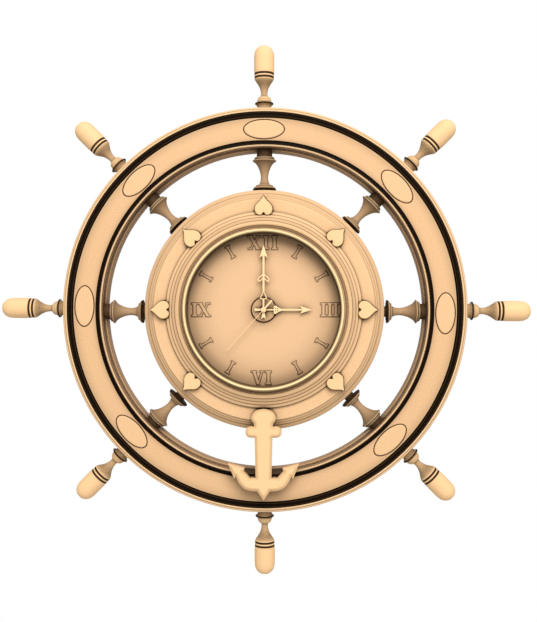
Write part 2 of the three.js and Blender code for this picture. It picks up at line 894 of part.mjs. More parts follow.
function minuteHand() {
  const leaf = scaled(leafHalf, leafWidth, leafLength, leafStart);
  const kite = scaled(kiteHalf, kiteWidth, kiteLength, kiteStart);
  const kiteEnd = kiteStart + kiteLength;
  const leafEnd = leafStart + leafLength;
  const arrowStart = minuteHandLength - minuteArrowLength;
  const tailEdge = [minuteTailWidth / 2, -handTailLength];
  return handFrom([
    boss(),
    bar(0, kiteStart + handLap, minuteArmWidth),
    outline(mirrored(kite)),
    bar(kiteEnd - handLap, leafStart + handLap, minuteShaftWidth),
    outline(mirrored(leaf)),
    bar(leafEnd - handLap, arrowStart + handLap, minuteShaftWidth),
    arrowHead(minuteHandLength, minuteArrowLength, minuteArrowWidth, minuteShaftWidth),
    outline(mirrored([
      [0, 0], [minuteArmWidth / 2, 0], tailEdge, [0, minuteTailNotch - handTailLength],
    ])),
  ], [opening(kite, kiteStroke), opening(leaf, leafStroke)],
  minuteTubeTop - handThickness, minuteTubeRadius + stackGap);
}

function hourHand() {
  const block = scaled(blockHalf, blockWidth, blockLength, blockStart);
  const eyePlaces = scaled(blockEyes, blockWidth, blockLength, blockStart);
  const eyes = eyePlaces.map(([x, z]) => circleShape(x, z, blockEyeRadius, 4));
  const blockEnd = blockStart + blockLength;
  const arrowStart = hourHandLength - hourArrowLength;
  return handFrom([
    boss(),
    bar(0, blockStart + handLap, hourArmWidth),
    outline(mirrored(block)),
    bar(blockEnd - handLap, arrowStart + handLap, hourShaftWidth),
    arrowHead(hourHandLength, hourArrowLength, hourArrowWidth, hourShaftWidth),
    bar(0, -handTailLength, hourArmWidth, hourTailWidth),
  ], eyes, hourPipeTop - handThickness, hourPipeRadius + stackGap);
}

function secondHand() {
  const shapes = [
    boss(),
    bar(0, secondHandLength, secondHandWidth, secondTipWidth),
    bar(0, -secondTailLength, secondTailWidth),
  ];
  return handFrom(shapes, [], secondArborTop - handThickness, secondArborRadius + stackGap);
}

// Movement: places and sizes of the gears

function arborPlace(distance, angle, from = [0, 0]) {
  return [from[0] + distance * Math.sin(radians(angle)), from[1] + distance * Math.cos(radians(angle))];
}

const intermediatePlace = arborPlace(intermediateDistance, intermediateAngle);
const rotorPlace = arborPlace(rotorDistance, rotorAngle, intermediatePlace);
const thirdPlace = arborPlace(thirdDistance, thirdAngle);
const reversePlace = arborPlace(reverseDistance, reverseAngle);

function layerDepths(name) {
  const [start, thickness] = layers[name];
  return [coverFront + start, coverFront + start + thickness];
}

// A gear that meshes with one at the given distance. A tooth or, where asked, a gap faces it.
function gear(count, mateCount, distance, facing, gapFaces, layer) {
  const size = (2 * distance) / (count + mateCount);
  const pitchRadius = (size * count) / 2;
  const first = facing + (gapFaces ? 180 / count : 0);
  const points = [];
  for (let i = 0; i < count * 2; i++) {
    const radius = i % 2 ? pitchRadius - toothRoot * size : pitchRadius + toothTip * size;
    const turn = radians(first + (i * 180) / count);
    points.push([radius * Math.sin(turn), radius * Math.cos(turn)]);
  }
  return plate(outline(points), ...layerDepths(layer));
}

const plateTop = layerDepths('middlePlate')[1];
const pivotBack = coverFront - pivotDepth + turningGap;

function placed(geometry, [x, z]) {
  return geometry.translate(x, 0, z);
}

function secondWheel() {
  const facing = intermediateAngle;
  return joined(
    pin(0, 0, secondArborRadius, pivotBack, secondArborTop),
    gear(teeth.secondWheel, teeth.intermediatePinion, intermediateDistance, facing, true, 'secondWheel'),
    gear(teeth.secondPinion, teeth.thirdWheel, thirdDistance, thirdAngle, false, 'secondPinion'),
  );
}

function thirdWheel() {
  const facing = thirdAngle + 180;
  return placed(joined(
    pin(0, 0, arborRadius, pivotBack, plateTop),
    gear(teeth.thirdWheel, teeth.secondPinion, thirdDistance, facing, true, 'thirdWheel'),
    gear(teeth.thirdPinion, teeth.centreWheel, thirdDistance, facing, false, 'thirdPinion'),
  ), thirdPlace);
}

function intermediateWheel() {
  const facing = intermediateAngle + 180;
  const pinion = 'intermediatePinion';
  return placed(joined(
    pin(0, 0, arborRadius, pivotBack, plateTop),
    gear(teeth.intermediateWheel, teeth.rotor, rotorDistance, rotorAngle, true, 'intermediateWheel'),
    gear(teeth.intermediatePinion, teeth.secondWheel, intermediateDistance, facing, false, pinion),
  ), intermediatePlace);
}

function rotor() {
  const facing = rotorAngle + 180;
  return placed(joined(
    pin(0, 0, arborRadius, pivotBack, plateTop),
    gear(teeth.rotor, teeth.intermediateWheel, rotorDistance, facing, false, 'rotorPinion'),
    pin(0, 0, magnetRadius, ...layerDepths('magnet'), smallSides),
  ), rotorPlace);
}

// The centre wheel turns with the train and grips the minute tube only by friction.
function centreWheel() {
  const wheel = gear(teeth.centreWheel, teeth.thirdPinion, thirdDistance, thirdAngle, true, 'centreWheel');
  const [back, front] = layerDepths('centreWheel');
  return cut(wheel, pin(0, 0, minuteTubeRadius + turningGap, back - overCut, front + overCut, smallSides));
}

function minuteTube() {
  const tubeBack = layerDepths('centreWheel')[0] - tubeTail;
  const solid = joined(
    pin(0, 0, minuteTubeRadius, tubeBack, minuteTubeTop, smallSides),
    gear(teeth.centrePinion, teeth.reverseWheel, reverseDistance, reverseAngle, false, 'centrePinion'),
  );
  return cut(solid, pin(0, 0, minuteTubeBore, tubeBack - overCut, minuteTubeTop + overCut, smallSides));
}

function hourWheel() {
  const back = layerDepths('hourWheel')[0];
  const solid = joined(
    pin(0, 0, hourPipeRadius, back, hourPipeTop, smallSides),
    gear(teeth.hourWheel, teeth.reversePinion, reverseDistance, reverseAngle, true, 'hourWheel'),
  );
  return cut(solid, pin(0, 0, hourPipeBore, back - overCut, hourPipeTop + overCut, smallSides));
}

const knobFront = caseBack - seatGap;
const knobBack = knobFront - knobThickness;

function reverseWheel() {
  const facing = reverseAngle + 180;
  return placed(joined(
    pin(0, 0, arborRadius, knobBack + knobFloor, caseInside + pivotDepth - turningGap),
    gear(teeth.reverseWheel, teeth.centrePinion, reverseDistance, facing, true, 'reverseWheel'),
    gear(teeth.reversePinion, teeth.hourWheel, reverseDistance, facing, false, 'reversePinion'),
  ), reversePlace);
}

function settingKnob() {
  const grip = disc(knobRadius, knobBack, knobFront, smallSides);
  const bore = pin(0, 0, arborRadius + stackGap, knobBack + knobFloor - stackGap, knobFront + overCut);
  return placed(cut(grip, bore), reversePlace);
}

// Movement: case, cover and what they hold

const inside = caseSize / 2 - caseWall;
const bayHeight = 2 * (batteryRadius + seatGap);
const bayTop = -inside + bayHeight;
const trainBottom = bayTop + bayWall;
const batteryDepth = caseInside - seatGap - batteryRadius;
const batteryZ = -inside + seatGap + batteryRadius;

function movementCase() {
  const half = caseSize / 2;
  const shell = cut(
    block(-half, half, caseBack, caseFront, -half, half),
    block(-inside, inside, caseBack - overCut, caseInside, trainBottom, inside),
    block(-inside, inside, caseBack - overCut, caseInside, -inside, bayTop),
  );
  const bush = pin(0, 0, bushRadius, caseFront - caseWall, bushTop, smallSides);
  return cut(
    joined(shell, bush),
    pin(0, 0, bushBore, caseInside - overCut, bushTop + overCut, smallSides),
    pin(...reversePlace, pivotHole, caseInside - overCut, caseInside + pivotDepth),
  );
}

function movementCover() {
  const edge = inside - seatGap;
  const panel = block(-edge, edge, caseBack, coverFront, trainBottom + seatGap, edge);
  const pivots = [[0, 0], thirdPlace, intermediatePlace, rotorPlace];
  const bores = pivots.map((place) => (
    pin(...place, pivotHole, coverFront - pivotDepth, coverFront + overCut)
  ));
  return cut(panel, ...bores, pin(...reversePlace, pivotHole, caseBack - overCut, coverFront + overCut));
}

function middlePlate() {
  const edge = inside - seatGap;
  const [back, front] = layerDepths('middlePlate');
  const holes = [thirdPlace, intermediatePlace, rotorPlace, reversePlace].map((place) => (
    pin(...place, pivotHole, back - overCut, front + overCut)
  ));
  const centre = pin(0, 0, minuteTubeRadius + turningGap, back - overCut, front + overCut, smallSides);
  return cut(block(-edge, edge, back, front, trainBottom + seatGap, edge), centre, ...holes);
}

const coilMiddle = trainBottom + coreOverhang + statorGap + coilLength / 2;

function coil() {
  const [back, front] = layerDepths('core');
  const reach = coilLength / 2 + coreOverhang;
  const core = block(-coreWidth / 2, coreWidth / 2, back, front, -reach, reach);
  const winding = new THREE.CylinderGeometry(coilRadius, coilRadius, coilLength, smallSides);
  winding.rotateX(Math.PI / 2);
  winding.translate(0, -(back + front) / 2, 0);
  return placed(joined(core, winding), [coilAcross, coilMiddle]);
}

function stator() {
  const low = coilMiddle - coilLength / 2;
  const high = coilMiddle + coilLength / 2;
  const right = coilAcross + coreWidth;
  const left = rotorPlace[0] - magnetRadius - magnetGap - statorRim;
  const columnLeft = coilAcross - coilRadius - statorGap - statorColumn;
  const top = rotorPlace[1] + statorArm / 2;
  const shape = outline([
    [left, top],
    [right, top],
    [right, high + statorGap / 2],
    [columnLeft + statorColumn, high + statorGap / 2],
    [columnLeft + statorColumn, low - statorGap / 2],
    [right, low - statorGap / 2],
    [right, low - coreOverhang],
    [columnLeft, low - coreOverhang],
    [columnLeft, top - statorArm],
    [left, top - statorArm],
  ]);
  const [back, front] = layerDepths('stator');
  const hole = pin(...rotorPlace, magnetRadius + magnetGap, back - overCut, front + overCut, smallSides);
  return cut(plate(shape, back, front), hole);
}

function circuitBoard() {
  const [back, front] = layerDepths('board');
  const left = -inside + seatGap;
  const bottom = trainBottom + seatGap;
  const board = block(left, left + boardWidth, back, front, bottom, bottom + boardHeight);
  const x = left + boardWidth / 2;
  const z = bottom + boardHeight / 2;
  const half = chipSize / 2;
  const chip = block(x - half, x + half, back - chipThickness, back + stackGap, z - half, z + half);
  return joined(board, chip);
}

function battery() {
  const body = batteryLength - batteryNubLength;
  const profile = [
    new THREE.Vector2(0, 0),
    new THREE.Vector2(batteryRadius, 0),
    new THREE.Vector2(batteryRadius, body),
    new THREE.Vector2(batteryNubRadius, body),
    new THREE.Vector2(batteryNubRadius, batteryLength),
    new THREE.Vector2(0, batteryLength),
  ];
  const geometry = new THREE.LatheGeometry(profile, smallSides);
  geometry.rotateZ(-Math.PI / 2);
  geometry.translate(-batteryLength / 2, -batteryDepth, batteryZ);
  return closedBody(geometry);
}

function batteryContact(side) {
  const near = side * (batteryLength / 2 + seatGap);
  const far = side * (inside - seatGap);
  const half = contactSize / 2;
  const tip = tongueSize / 2;
  const leaf = [far - side * contactThickness, far].sort((a, b) => a - b);
  const tongue = [near, far].sort((a, b) => a - b);
  return joined(
    block(...leaf, batteryDepth - half, batteryDepth + half, batteryZ - half, batteryZ + half),
    block(...tongue, batteryDepth - tip, batteryDepth + tip, batteryZ - tip, batteryZ + tip),
  );
}

function dialNut() {
  const front = nutBack + nutThickness;
  const profile = [
    [bushHole, nutBack],
    [nutRadius, nutBack],
    [nutRadius, front - nutEdge],
    [nutRadius - nutEdge, front],
    [bushHole, front],
  ];
  return turned([...profile, profile[0]], 2 * smallSides);
}

// A strip bent twice: it lies under the nut, runs back past the case and ends in a tab with a keyhole.
function hangerPlate() {
  const front = hangerBack + hangerThickness;
  const web = hangerWebHeight;
  const strip = outline([
    [hangerBack, -hangerBelow],
    [front, -hangerBelow],
    [front, web],
    [hangerTabDepth + hangerThickness, web],
    [hangerTabDepth + hangerThickness, web + hangerTabHeight],
    [hangerTabDepth, web + hangerTabHeight],
    [hangerTabDepth, web - hangerThickness],
    [hangerBack, web - hangerThickness],
  ]);
  const geometry = new THREE.ExtrudeGeometry(strip, { depth: hangerWidth, bevelEnabled: false });
  geometry.translate(0, 0, -hangerWidth / 2);
  geometry.rotateX(Math.PI / 2);
  geometry.rotateZ(-Math.PI / 2);
  const tabBack = hangerTabDepth - overCut;
  const tabFront = hangerTabDepth + hangerThickness + overCut;
  const half = keyholeSlotWidth / 2;
  const slotTop = keyholeHeight + keyholeSlotLength;
  return cut(
    geometry,
    pin(0, 0, bushHole, hangerBack - overCut, front + overCut, smallSides),
    pin(0, keyholeHeight, keyholeRadius, tabBack, tabFront, smallSides),
    block(-half, half, tabBack, tabFront, keyholeHeight, slotTop),
    pin(0, slotTop, half, tabBack, tabFront, pivotSides),
  );
}

// Assembly

add('rim_back_ring', rimBackRing(), woodBrown);
add('rim_front_ring', rimFrontRing(), woodLight);
add('rim_inlay_inner', rimInlay(innerInlayRadius, innerInlayWidth), blackPaint);
add('rim_inlay_outer', rimInlay(outerInlayRadius, outerInlayWidth), blackPaint);

for (let spoke = 0; spoke < spokeCount; spoke++) {
  add(`handle_${spoke + 1}`, handle().translate(0, -spokeDepth, 0), woodCream, spokeAngle(spoke));
}

spokesWithoutAnchor().forEach((spoke, i) => {
  const angle = spokeAngle(spoke);
  add(`spindle_${i + 1}`, spindle().translate(0, -spokeDepth, 0), woodBrown, angle);
  add(`oval_plate_${i + 1}`, ovalPlate(), woodCream, angle);
  add(`heart_${i + 1}`, heartOnHub(spoke), woodCream);
});

add('anchor', anchor(), woodCream);
add('hub_body', hubBody(), woodLight);
add('bezel_ring', bezelRing(), brassBright);
add('dial', dialPlate(), woodLight);
add('dial_nut', dialNut(), brassBright);

add('hour_hand', hourHand(), brassBright, hourAngle);
add('minute_hand', minuteHand(), brassBright);
add('second_hand', secondHand(), brassBright, secondAngle);

add('movement_case', movementCase(), plasticDark);
add('movement_cover', movementCover(), plasticDark);
add('middle_plate', middlePlate(), plasticPale);
add('hour_wheel', hourWheel(), plasticPale);
add('minute_tube', minuteTube(), plasticPale);
add('centre_wheel', centreWheel(), plasticPale);
add('second_wheel', secondWheel(), plasticPale);
add('third_wheel', thirdWheel(), plasticPale);
add('intermediate_wheel', intermediateWheel(), plasticPale);
add('reverse_wheel', reverseWheel(), plasticPale);
add('rotor', rotor(), steel);
add('setting_knob', settingKnob(), plasticPale);
add('coil', coil(), copper);
add('stator', stator(), steel);
add('circuit_board', circuitBoard(), boardGreen);
add('battery', battery(), batteryGrey);
add('contact_minus', batteryContact(-1), steel);
add('contact_plus', batteryContact(1), steel);
add('hanger_plate', hangerPlate(), steel);

export default clock;
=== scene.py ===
import math

import bmesh
import bpy
import numpy as np
from mathutils import Matrix, Vector
from mathutils.geometry import delaunay_2d_cdt


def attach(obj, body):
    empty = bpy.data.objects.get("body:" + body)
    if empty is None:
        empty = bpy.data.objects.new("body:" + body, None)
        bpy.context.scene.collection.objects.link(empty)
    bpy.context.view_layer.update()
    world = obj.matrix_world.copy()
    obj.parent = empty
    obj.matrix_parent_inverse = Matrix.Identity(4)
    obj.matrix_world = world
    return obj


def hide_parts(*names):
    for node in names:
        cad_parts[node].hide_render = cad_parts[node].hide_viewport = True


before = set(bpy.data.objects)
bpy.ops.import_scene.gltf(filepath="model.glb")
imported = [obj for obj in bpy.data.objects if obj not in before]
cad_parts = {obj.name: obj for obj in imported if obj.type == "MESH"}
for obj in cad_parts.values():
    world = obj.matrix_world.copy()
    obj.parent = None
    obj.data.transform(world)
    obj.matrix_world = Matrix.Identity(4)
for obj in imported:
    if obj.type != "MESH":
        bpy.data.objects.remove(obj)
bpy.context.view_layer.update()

# The ship's wheel wall clock. Sizes here are in millimetres and turn into metres where a mesh is
# made. The wheel's axis runs along Y, and a depth is a distance from the wall, towards the front.
MM = 0.001

# Wheel
SPOKES = 8
ANCHOR_SPOKE = 4
FREE_SPOKES = [spoke for spoke in range(SPOKES) if spoke != ANCHOR_SPOKE]
SPOKE_DEPTH = 22.0
RIM_STAND_OFF = 4.0
RIM_FACE = 40.0
RIM_INNER = 180.4
INNER_BAND = 184.5
FACE_INNER = 189.0
OUTER_BAND = 214.1
OUTER_BEAD = 221.4
RIM_OUTER = 226.6
BAND_FLOOR = 37.5

# Hub, bezel and dial
HUB_RADIUS = 134.0
HUB_FACE = 50.0
HUB_FLAT_INNER = 109.6
HUB_FLAT_OUTER = 121.4
POCKET_RADIUS = 87.9
RECESS_RADIUS = 98.0
RECESS_DEPTH = 42.0
FLOOR_FRONT = 47.0
BEZEL_INNER = 84.6
BEZEL_OUTER = 87.6
BEZEL_TOP = 70.0
DIAL_FACE = 50.0
NUT_RADIUS = 13.2
BUSH_HOLE = 3.55

# How finely round shapes are made
WHEEL_SIDES = 256
NUT_SIDES = 128
OVAL_SIDES = 96
SPOKE_SIDES = 64
SMALL_SIDES = 48
BORE_SIDES = 32
EYE_SIDES = 12
PATH_STEPS = 4

# Points nearer than this, in metres, are one, and turns above this, in degrees, look sharp
MERGE_DISTANCE = 1e-7
SHARP_ANGLE = 35

# A profile's corners, with turns in radians: one below FLAT_TURN isn't rounded and one below
# SMOOTH_TURN has no tone. Round and fade take at most their share of the run to the next corner.
FLAT_TURN = 0.02
SMOOTH_TURN = 0.4
TONE_TURN = 0.9
STEP_TURN = 0.3
EDGE_FADE = 0.9
ROUND_SHARE = 0.45
FADE_SHARE = 0.3

# A sharp corner of an outline moves by at most 1 / LEAST_SLANT of what its sides move
LEAST_SLANT = 0.45

# A relief's inner points: the lattice's step and shift, and the least gap to an edge and to the
# next point, as shares of the spacing or the bevel
LATTICE_STEP = 1.6
LATTICE_SHIFT = 0.8
GAP_OF_SPACING = 0.35
GAP_OF_BEVEL = 0.4
POINT_GAP = 0.45

# Painted shade and highlights
HOLLOW_SAMPLES = 8
CORNER_SHADE = 0.55
MOST_PAINTED_SHADE = 0.97
MOST_SHADE = 0.95
HIGHLIGHT_GAINS = (1.15, 1.3, 1.35)


# Materials


class Finish:
    """A procedural material, built node by node around one Principled shader."""

    def __init__(self, name, roughness, specular, metallic=0.0):
        self.material = bpy.data.materials.new(name)
        self.material.use_nodes = True
        self.tree = self.material.node_tree
        self.shader = self.tree.nodes["Principled BSDF"]
        self.fill(self.shader, {
            "Roughness": roughness, "Specular IOR Level": specular, "Metallic": metallic,
        })
        self.place = self.node("TexCoord").outputs["Object"]

    def node(self, kind, inputs=None, **settings):
        made = self.tree.nodes.new(f"ShaderNode{kind}")
        for key, value in settings.items():
            setattr(made, key, value)
        self.fill(made, inputs or {})
        return made

    def fill(self, made, inputs):
        for key, value in inputs.items():
            if isinstance(value, bpy.types.NodeSocket):
                self.tree.links.new(value, made.inputs[key])
            else:
                made.inputs[key].default_value = value

    def math(self, operation, a, b=0.0, clamp=False):
        return self.node("Math", {0: a, 1: b}, operation=operation, use_clamp=clamp).outputs[0]

    def sum(self, first, *others):
        for other in others:
            first = self.math("ADD", first, other)
        return first

    def mix(self, factor, a, b):
        made = self.node("Mix", {0: factor, 6: a, 7: b}, data_type="RGBA", blend_type="MIX")
        return made.outputs[2]

    def noise(self, scale, rough=0.7, detail=3.0, stretch=(1, 1, 1)):
        place = self.node("VectorMath", {0: self.place, 1: stretch}, operation="MULTIPLY")
        made = self.node("TexNoise", {
            "Vector": place.outputs[0], "Scale": scale, "Detail": detail, "Roughness": rough,
        })
        return made.outputs["Fac"]

    def spread(self, value, low, high, to_low=0.0, to_high=1.0):
        made = self.node("MapRange", {
            "Value": value, "From Min": low, "From Max": high, "To Min": to_low, "To Max": to_high,
        })
        return made.outputs[0]

    def attribute(self, name):
        return self.node("Attribute", attribute_name=name).outputs["Fac"]

    def hollow(self, reach):
        """1 in the open and 0 deep in a hollow that is narrower than the reach, in millimetres."""
        made = self.node("AmbientOcclusion", {"Distance": reach * MM}, samples=HOLLOW_SAMPLES)
        return made.outputs["AO"]

    def edges(self, amount):
        """The tone times the amount, from 0 to 1: a painted highlight on an edge, or with a
        negative amount painted shade in a hollow.
        """
        return self.math("MULTIPLY", self.attribute("tone"), amount, True)

    def finished(self, colour, height, strength, distance):
        """The material in its colour, with bumps."""
        made = self.node("Bump", {
            "Height": height, "Strength": strength, "Distance": distance * MM,
        })
        self.fill(self.shader, {"Normal": made.outputs[0], "Base Color": colour})
        return self.material


def linear(colour):
    """A colour as seen on a screen, 0 to 255, as the linear values that the shader takes."""
    values = []
    for channel in colour:
        share = channel / 255
        values.append(share / 12.92 if share <= 0.04045 else ((share + 0.055) / 1.055) ** 2.4)
    return (*values, 1.0)


def painted_shade_of(look, speckle, near_reach, far_reach):
    """How much painted shade lies on a spot: what its shade says, and more in corners and hollows.
    """
    near = look.spread(look.hollow(near_reach), 0.25, 0.9, 0.8, 0.0)
    far = look.spread(look.hollow(far_reach), 0.2, 0.95, 0.4, 0.0)
    total = look.sum(near, far, look.edges(-CORNER_SHADE), look.attribute("shade"))
    grainy = look.math("MULTIPLY", total, look.spread(speckle, 0.3, 0.7, 0.7, 1.3))
    return look.math("MINIMUM", grainy, MOST_PAINTED_SHADE, True)


def tinted(colour, gains, lift=0.0):
    channels = [min(1.0, channel * gain + lift) for channel, gain in zip(colour, gains)]
    return (*channels, 1.0)


def grained(look, scale, base, pale):
    """The fine speckle of close-grained wood, and the colour that it gives."""
    speckle = look.noise(scale)
    return speckle, look.mix(look.spread(speckle, 0.32, 0.68), linear(base), linear(pale))


def wood(name, base, pale):
    """Close-grained wood: fine speckle, painted shade in the hollows and painted highlights on the
    edges.
    """
    look = Finish(name, 0.6, 0.05)
    speckle, colour = grained(look, 750, base, pale)
    # Painted highlight on the edges, in a paler and yellower tone
    colour = look.mix(look.edges(0.8), colour, tinted(linear(pale), HIGHLIGHT_GAINS))
    # Painted shade in corners, in hollows and where the shade attribute says
    colour = look.mix(painted_shade_of(look, speckle, 4.0, 26.0), colour, SHADE_BROWN)
    return look.finished(colour, speckle, 0.15, 0.08)


def dial_wood():
    """The dial's face, with painted shade towards the bezel, round the nut and beside the hands."""
    look = Finish("dial_wood", 0.65, 0.08)
    speckle, colour = grained(look, 900, (167, 135, 102), (182, 148, 111))
    parts = look.node("SeparateXYZ", {0: look.place})
    squares = [look.math("POWER", look.math("ABSOLUTE", parts.outputs[axis]), 2) for axis in "XZ"]
    radius = look.math("SQRT", look.sum(*squares))

    def over(limits, inner, outer):
        return look.spread(radius, limits[0] * MM, limits[1] * MM, inner, outer)

    # Painted shade where the bezel shades the dial, painted shadow round the hands and marks, and
    # painted shade round the nut
    rim = look.math("POWER", over(DIAL_RIM_RADII, 0.0, 1.0), DIAL_RIM_CURVE)
    rim = look.math("MULTIPLY", rim, DIAL_RIM_SHADE)
    halo = look.spread(look.hollow(HALO_REACH), 0.6, 0.98, 1.0, 0.0)
    halo = look.math("MULTIPLY", halo, HALO_SHADE)
    halo = look.math("MULTIPLY", halo, over(HALO_RADII, 1.0, 0.2))
    middle = over(DIAL_MIDDLE_RADII, 0.2, 0.0)
    total = look.sum(painted_shade_of(look, speckle, 1.5, 14.0), rim, halo, middle)
    colour = look.mix(look.math("MINIMUM", total, MOST_SHADE, True), colour, SHADE_BROWN)
    return look.finished(colour, speckle, 0.15, 0.08)


def stained(name, base, worn_and_highlight, roughness=0.6):
    """A black or brown finish, for a stain or for painted shade, speckled with a lighter brown that
    also paints a highlight on its edges.
    """
    base, worn_and_highlight = linear(base), linear(worn_and_highlight)
    look = Finish(name, roughness, 0.02)
    speckle = look.noise(700)
    colour = look.mix(look.spread(speckle, 0.45, 0.8, 0.0, 0.3), base, worn_and_highlight)
    colour = look.mix(look.edges(0.8), colour, worn_and_highlight)
    return look.finished(colour, speckle, 0.15, 0.06)


def enamel(name, base, light):
    """Cream paint, with a painted highlight on its edges and painted shade in its hollows and where
    its shade says.
    """
    base, light = linear(base), linear(light)
    look = Finish(name, 0.45, 0.15)
    speckle = look.noise(1000)
    colour = look.mix(look.spread(speckle, 0.3, 0.7), base, light)
    colour = look.mix(look.edges(0.6), colour, light)
    shade = look.spread(look.hollow(2.0), 0.2, 0.85, 0.5, 0.0)
    shade = look.math("ADD", shade, look.attribute("shade"))
    colour = look.mix(look.math("MINIMUM", shade, MOST_SHADE, True), colour, SHADE_BROWN)
    return look.finished(colour, speckle, 0.1, 0.04)


def moulded(name, base, roughness, specular=0.4):
    """Moulded plastic with a fine texture and a little dust."""
    base = linear(base)
    look = Finish(name, roughness, specular)
    texture = look.noise(1800, 0.5, 2)
    cloud = look.noise(40, 0.6)
    dusty = tinted(base, (1.25, 1.25, 1.25), 0.02)
    colour = look.mix(look.spread(cloud, 0.4, 0.8, 0.0, 0.5), base, dusty)
    return look.finished(colour, texture, 0.2, 0.05)


def metal(name, base, roughness, streaks=(1, 1, 1)):
    """Plain metal with fine brush marks."""
    look = Finish(name, roughness, 0.5, 1.0)
    brush = look.noise(400, 0.6, stretch=streaks)
    darker = tinted(base, (0.75, 0.75, 0.75))
    colour = look.mix(look.spread(brush, 0.3, 0.8), base, darker)
    return look.finished(colour, brush, 0.12, 0.04)


def wound_wire():
    """Lacquered copper wire, wound in fine turns along Z."""
    look = Finish("wound_wire", 0.35, 0.5, 0.8)
    turns = look.node("TexWave", {
        "Vector": look.place, "Scale": 900.0, "Distortion": 0.3,
    }, bands_direction="Z").outputs["Fac"]
    colour = look.mix(turns, linear((150, 70, 30)), linear((215, 130, 70)))
    return look.finished(colour, turns, 0.6, 0.15)


def floor_finish():
    look = Finish("floor_finish", 0.8, 0.1)
    cloud = look.noise(3, 0.5)
    colour = look.mix(look.spread(cloud, 0.3, 0.8), (0.66, 0.655, 0.65, 1), (0.7, 0.7, 0.69, 1))
    look.fill(look.shader, {"Base Color": colour})
    return look.material


# The dark brown that all painted shade mixes towards
SHADE_BROWN = linear((46, 29, 14))

# Woods that more than one finish has, as seen on a screen
CREAM = (182, 149, 109)
CREAM_PALE = (191, 157, 116)
BROWN = (132, 106, 78)
BROWN_PALE = (144, 116, 86)

# Painted shade on the dial: how much, and between which distances from the wheel's centre it
# changes
DIAL_RIM_SHADE = 0.27
DIAL_RIM_RADII = (50, 76)
DIAL_RIM_CURVE = 1.5
HALO_SHADE = 0.5
HALO_REACH = 12.0
HALO_RADII = (62, 80)
DIAL_MIDDLE_RADII = (NUT_RADIUS, 28)


# Meshes


def faded(here, run, length, reach, shade, other):
    """The row beside a corner, towards another, where the edge's tone has faded out."""
    gap = reach + min(EDGE_FADE, FADE_SHARE * length)
    if length <= gap:
        return []
    return [(*(here + run * gap), 0.0, shade + gap / length * (other - shade))]


def rounded(points, closed):
    """Rounds the corners of a profile of (across, along, round[, shade]) points.

    The ends of an open profile have no round. Gives rows of (across, along, tone, shade): tone is
    above 0 on an edge and below 0 in a hollow, if the solid lies to the left of the profile's
    direction, and sets a painted highlight or painted shade there, and shade says how much painted
    shade lies on a spot."""
    rows = []
    count = len(points)
    shades = [point[3] if len(point) > 3 else 0.0 for point in points]
    for i, point in enumerate(points):
        here = np.array(point[:2], float)
        shade = shades[i]
        if not closed and i in (0, count - 1):
            rows.append((*here, 0.0, shade))
            continue
        last, following = i - 1, (i + 1) % count
        before = np.array(points[last][:2], float) - here
        after = np.array(points[following][:2], float) - here
        to_before, to_after = np.linalg.norm(before), np.linalg.norm(after)
        before, after = before / to_before, after / to_after
        turn = math.pi - math.acos(max(-1.0, min(1.0, float(before @ after))))
        if turn < FLAT_TURN:
            rows.append((*here, 0.0, shade))
            continue
        reach = point[2] * math.tan(turn / 2)
        reach = min(reach, ROUND_SHARE * to_before, ROUND_SHARE * to_after)
        side = math.copysign(1, -(before[0] * after[1] - before[1] * after[0]))
        tone = side * max(0.0, min(1.0, (turn - SMOOTH_TURN) / TONE_TURN))
        rows += faded(here, before, to_before, reach, shade, shades[last])
        start, end = here + before * reach, here + after * reach
        steps = max(2, int(turn / STEP_TURN) + 1)
        for step in range(steps + 1):
            share = step / steps
            spot = (1 - share) ** 2 * start + 2 * share * (1 - share) * here + share ** 2 * end
            rows.append((*spot, tone, shade))
        rows += faded(here, after, to_after, reach, shade, shades[following])
    return rows


def new_object(name, verts, faces, tones=None, shades=None):
    """An object with outward faces, and tones and shades as attributes of its points."""
    mesh = bpy.data.meshes.new(name)
    mesh.from_pydata([tuple(v) for v in verts], [], faces)
    for title, values in (("tone", tones), ("shade", shades)):
        if values is not None:
            layer = mesh.attributes.new(title, "FLOAT", "POINT")
            layer.data.foreach_set("value", np.array(values, np.float32))
    working = bmesh.new()
    working.from_mesh(mesh)
    bmesh.ops.remove_doubles(working, verts=working.verts, dist=MERGE_DISTANCE)
    bmesh.ops.recalc_face_normals(working, faces=working.faces)
    working.to_mesh(mesh)
    working.free()
    for polygon in mesh.polygons:
        polygon.use_smooth = True
    mesh.set_sharp_from_angle(angle=math.radians(SHARP_ANGLE))
    made = bpy.data.objects.new(name, mesh)
    bpy.context.scene.collection.objects.link(made)
    return made


def lathe(name, rows, sides, place, closed):
    """Turns rows from rounded() through a full turn.

    The function place gives a point from across, along and angle."""
    verts, tones, shades, rings = [], [], [], []
    for across, along, tone, shade in rows:
        count = 1 if across < 1e-6 else sides
        rings.append(list(range(len(verts), len(verts) + count)))
        verts += [place(across, along, 2 * math.pi * side / sides) for side in range(count)]
        tones += [tone] * count
        shades += [shade] * count
    faces = []
    last = len(rings) if closed else len(rings) - 1
    for i in range(last):
        near, far = rings[i], rings[(i + 1) % len(rings)]
        for side in range(sides):
            after = (side + 1) % sides
            corners = [near[side % len(near)], near[after % len(near)]]
            corners += [far[after % len(far)], far[side % len(far)]]
            kept = list(dict.fromkeys(corners))
            if len(kept) > 2:
                faces.append(kept)
    return new_object(name, verts, faces, tones, shades)


def on_wheel(radius, depth, angle):
    return (radius * math.sin(angle) * MM, -depth * MM, radius * math.cos(angle) * MM)


def on_spoke(radius, along, angle):
    """A point on a ring about the line of the spoke that points up."""
    depth = SPOKE_DEPTH - radius * math.sin(angle)
    return (radius * math.cos(angle) * MM, -depth * MM, along * MM)


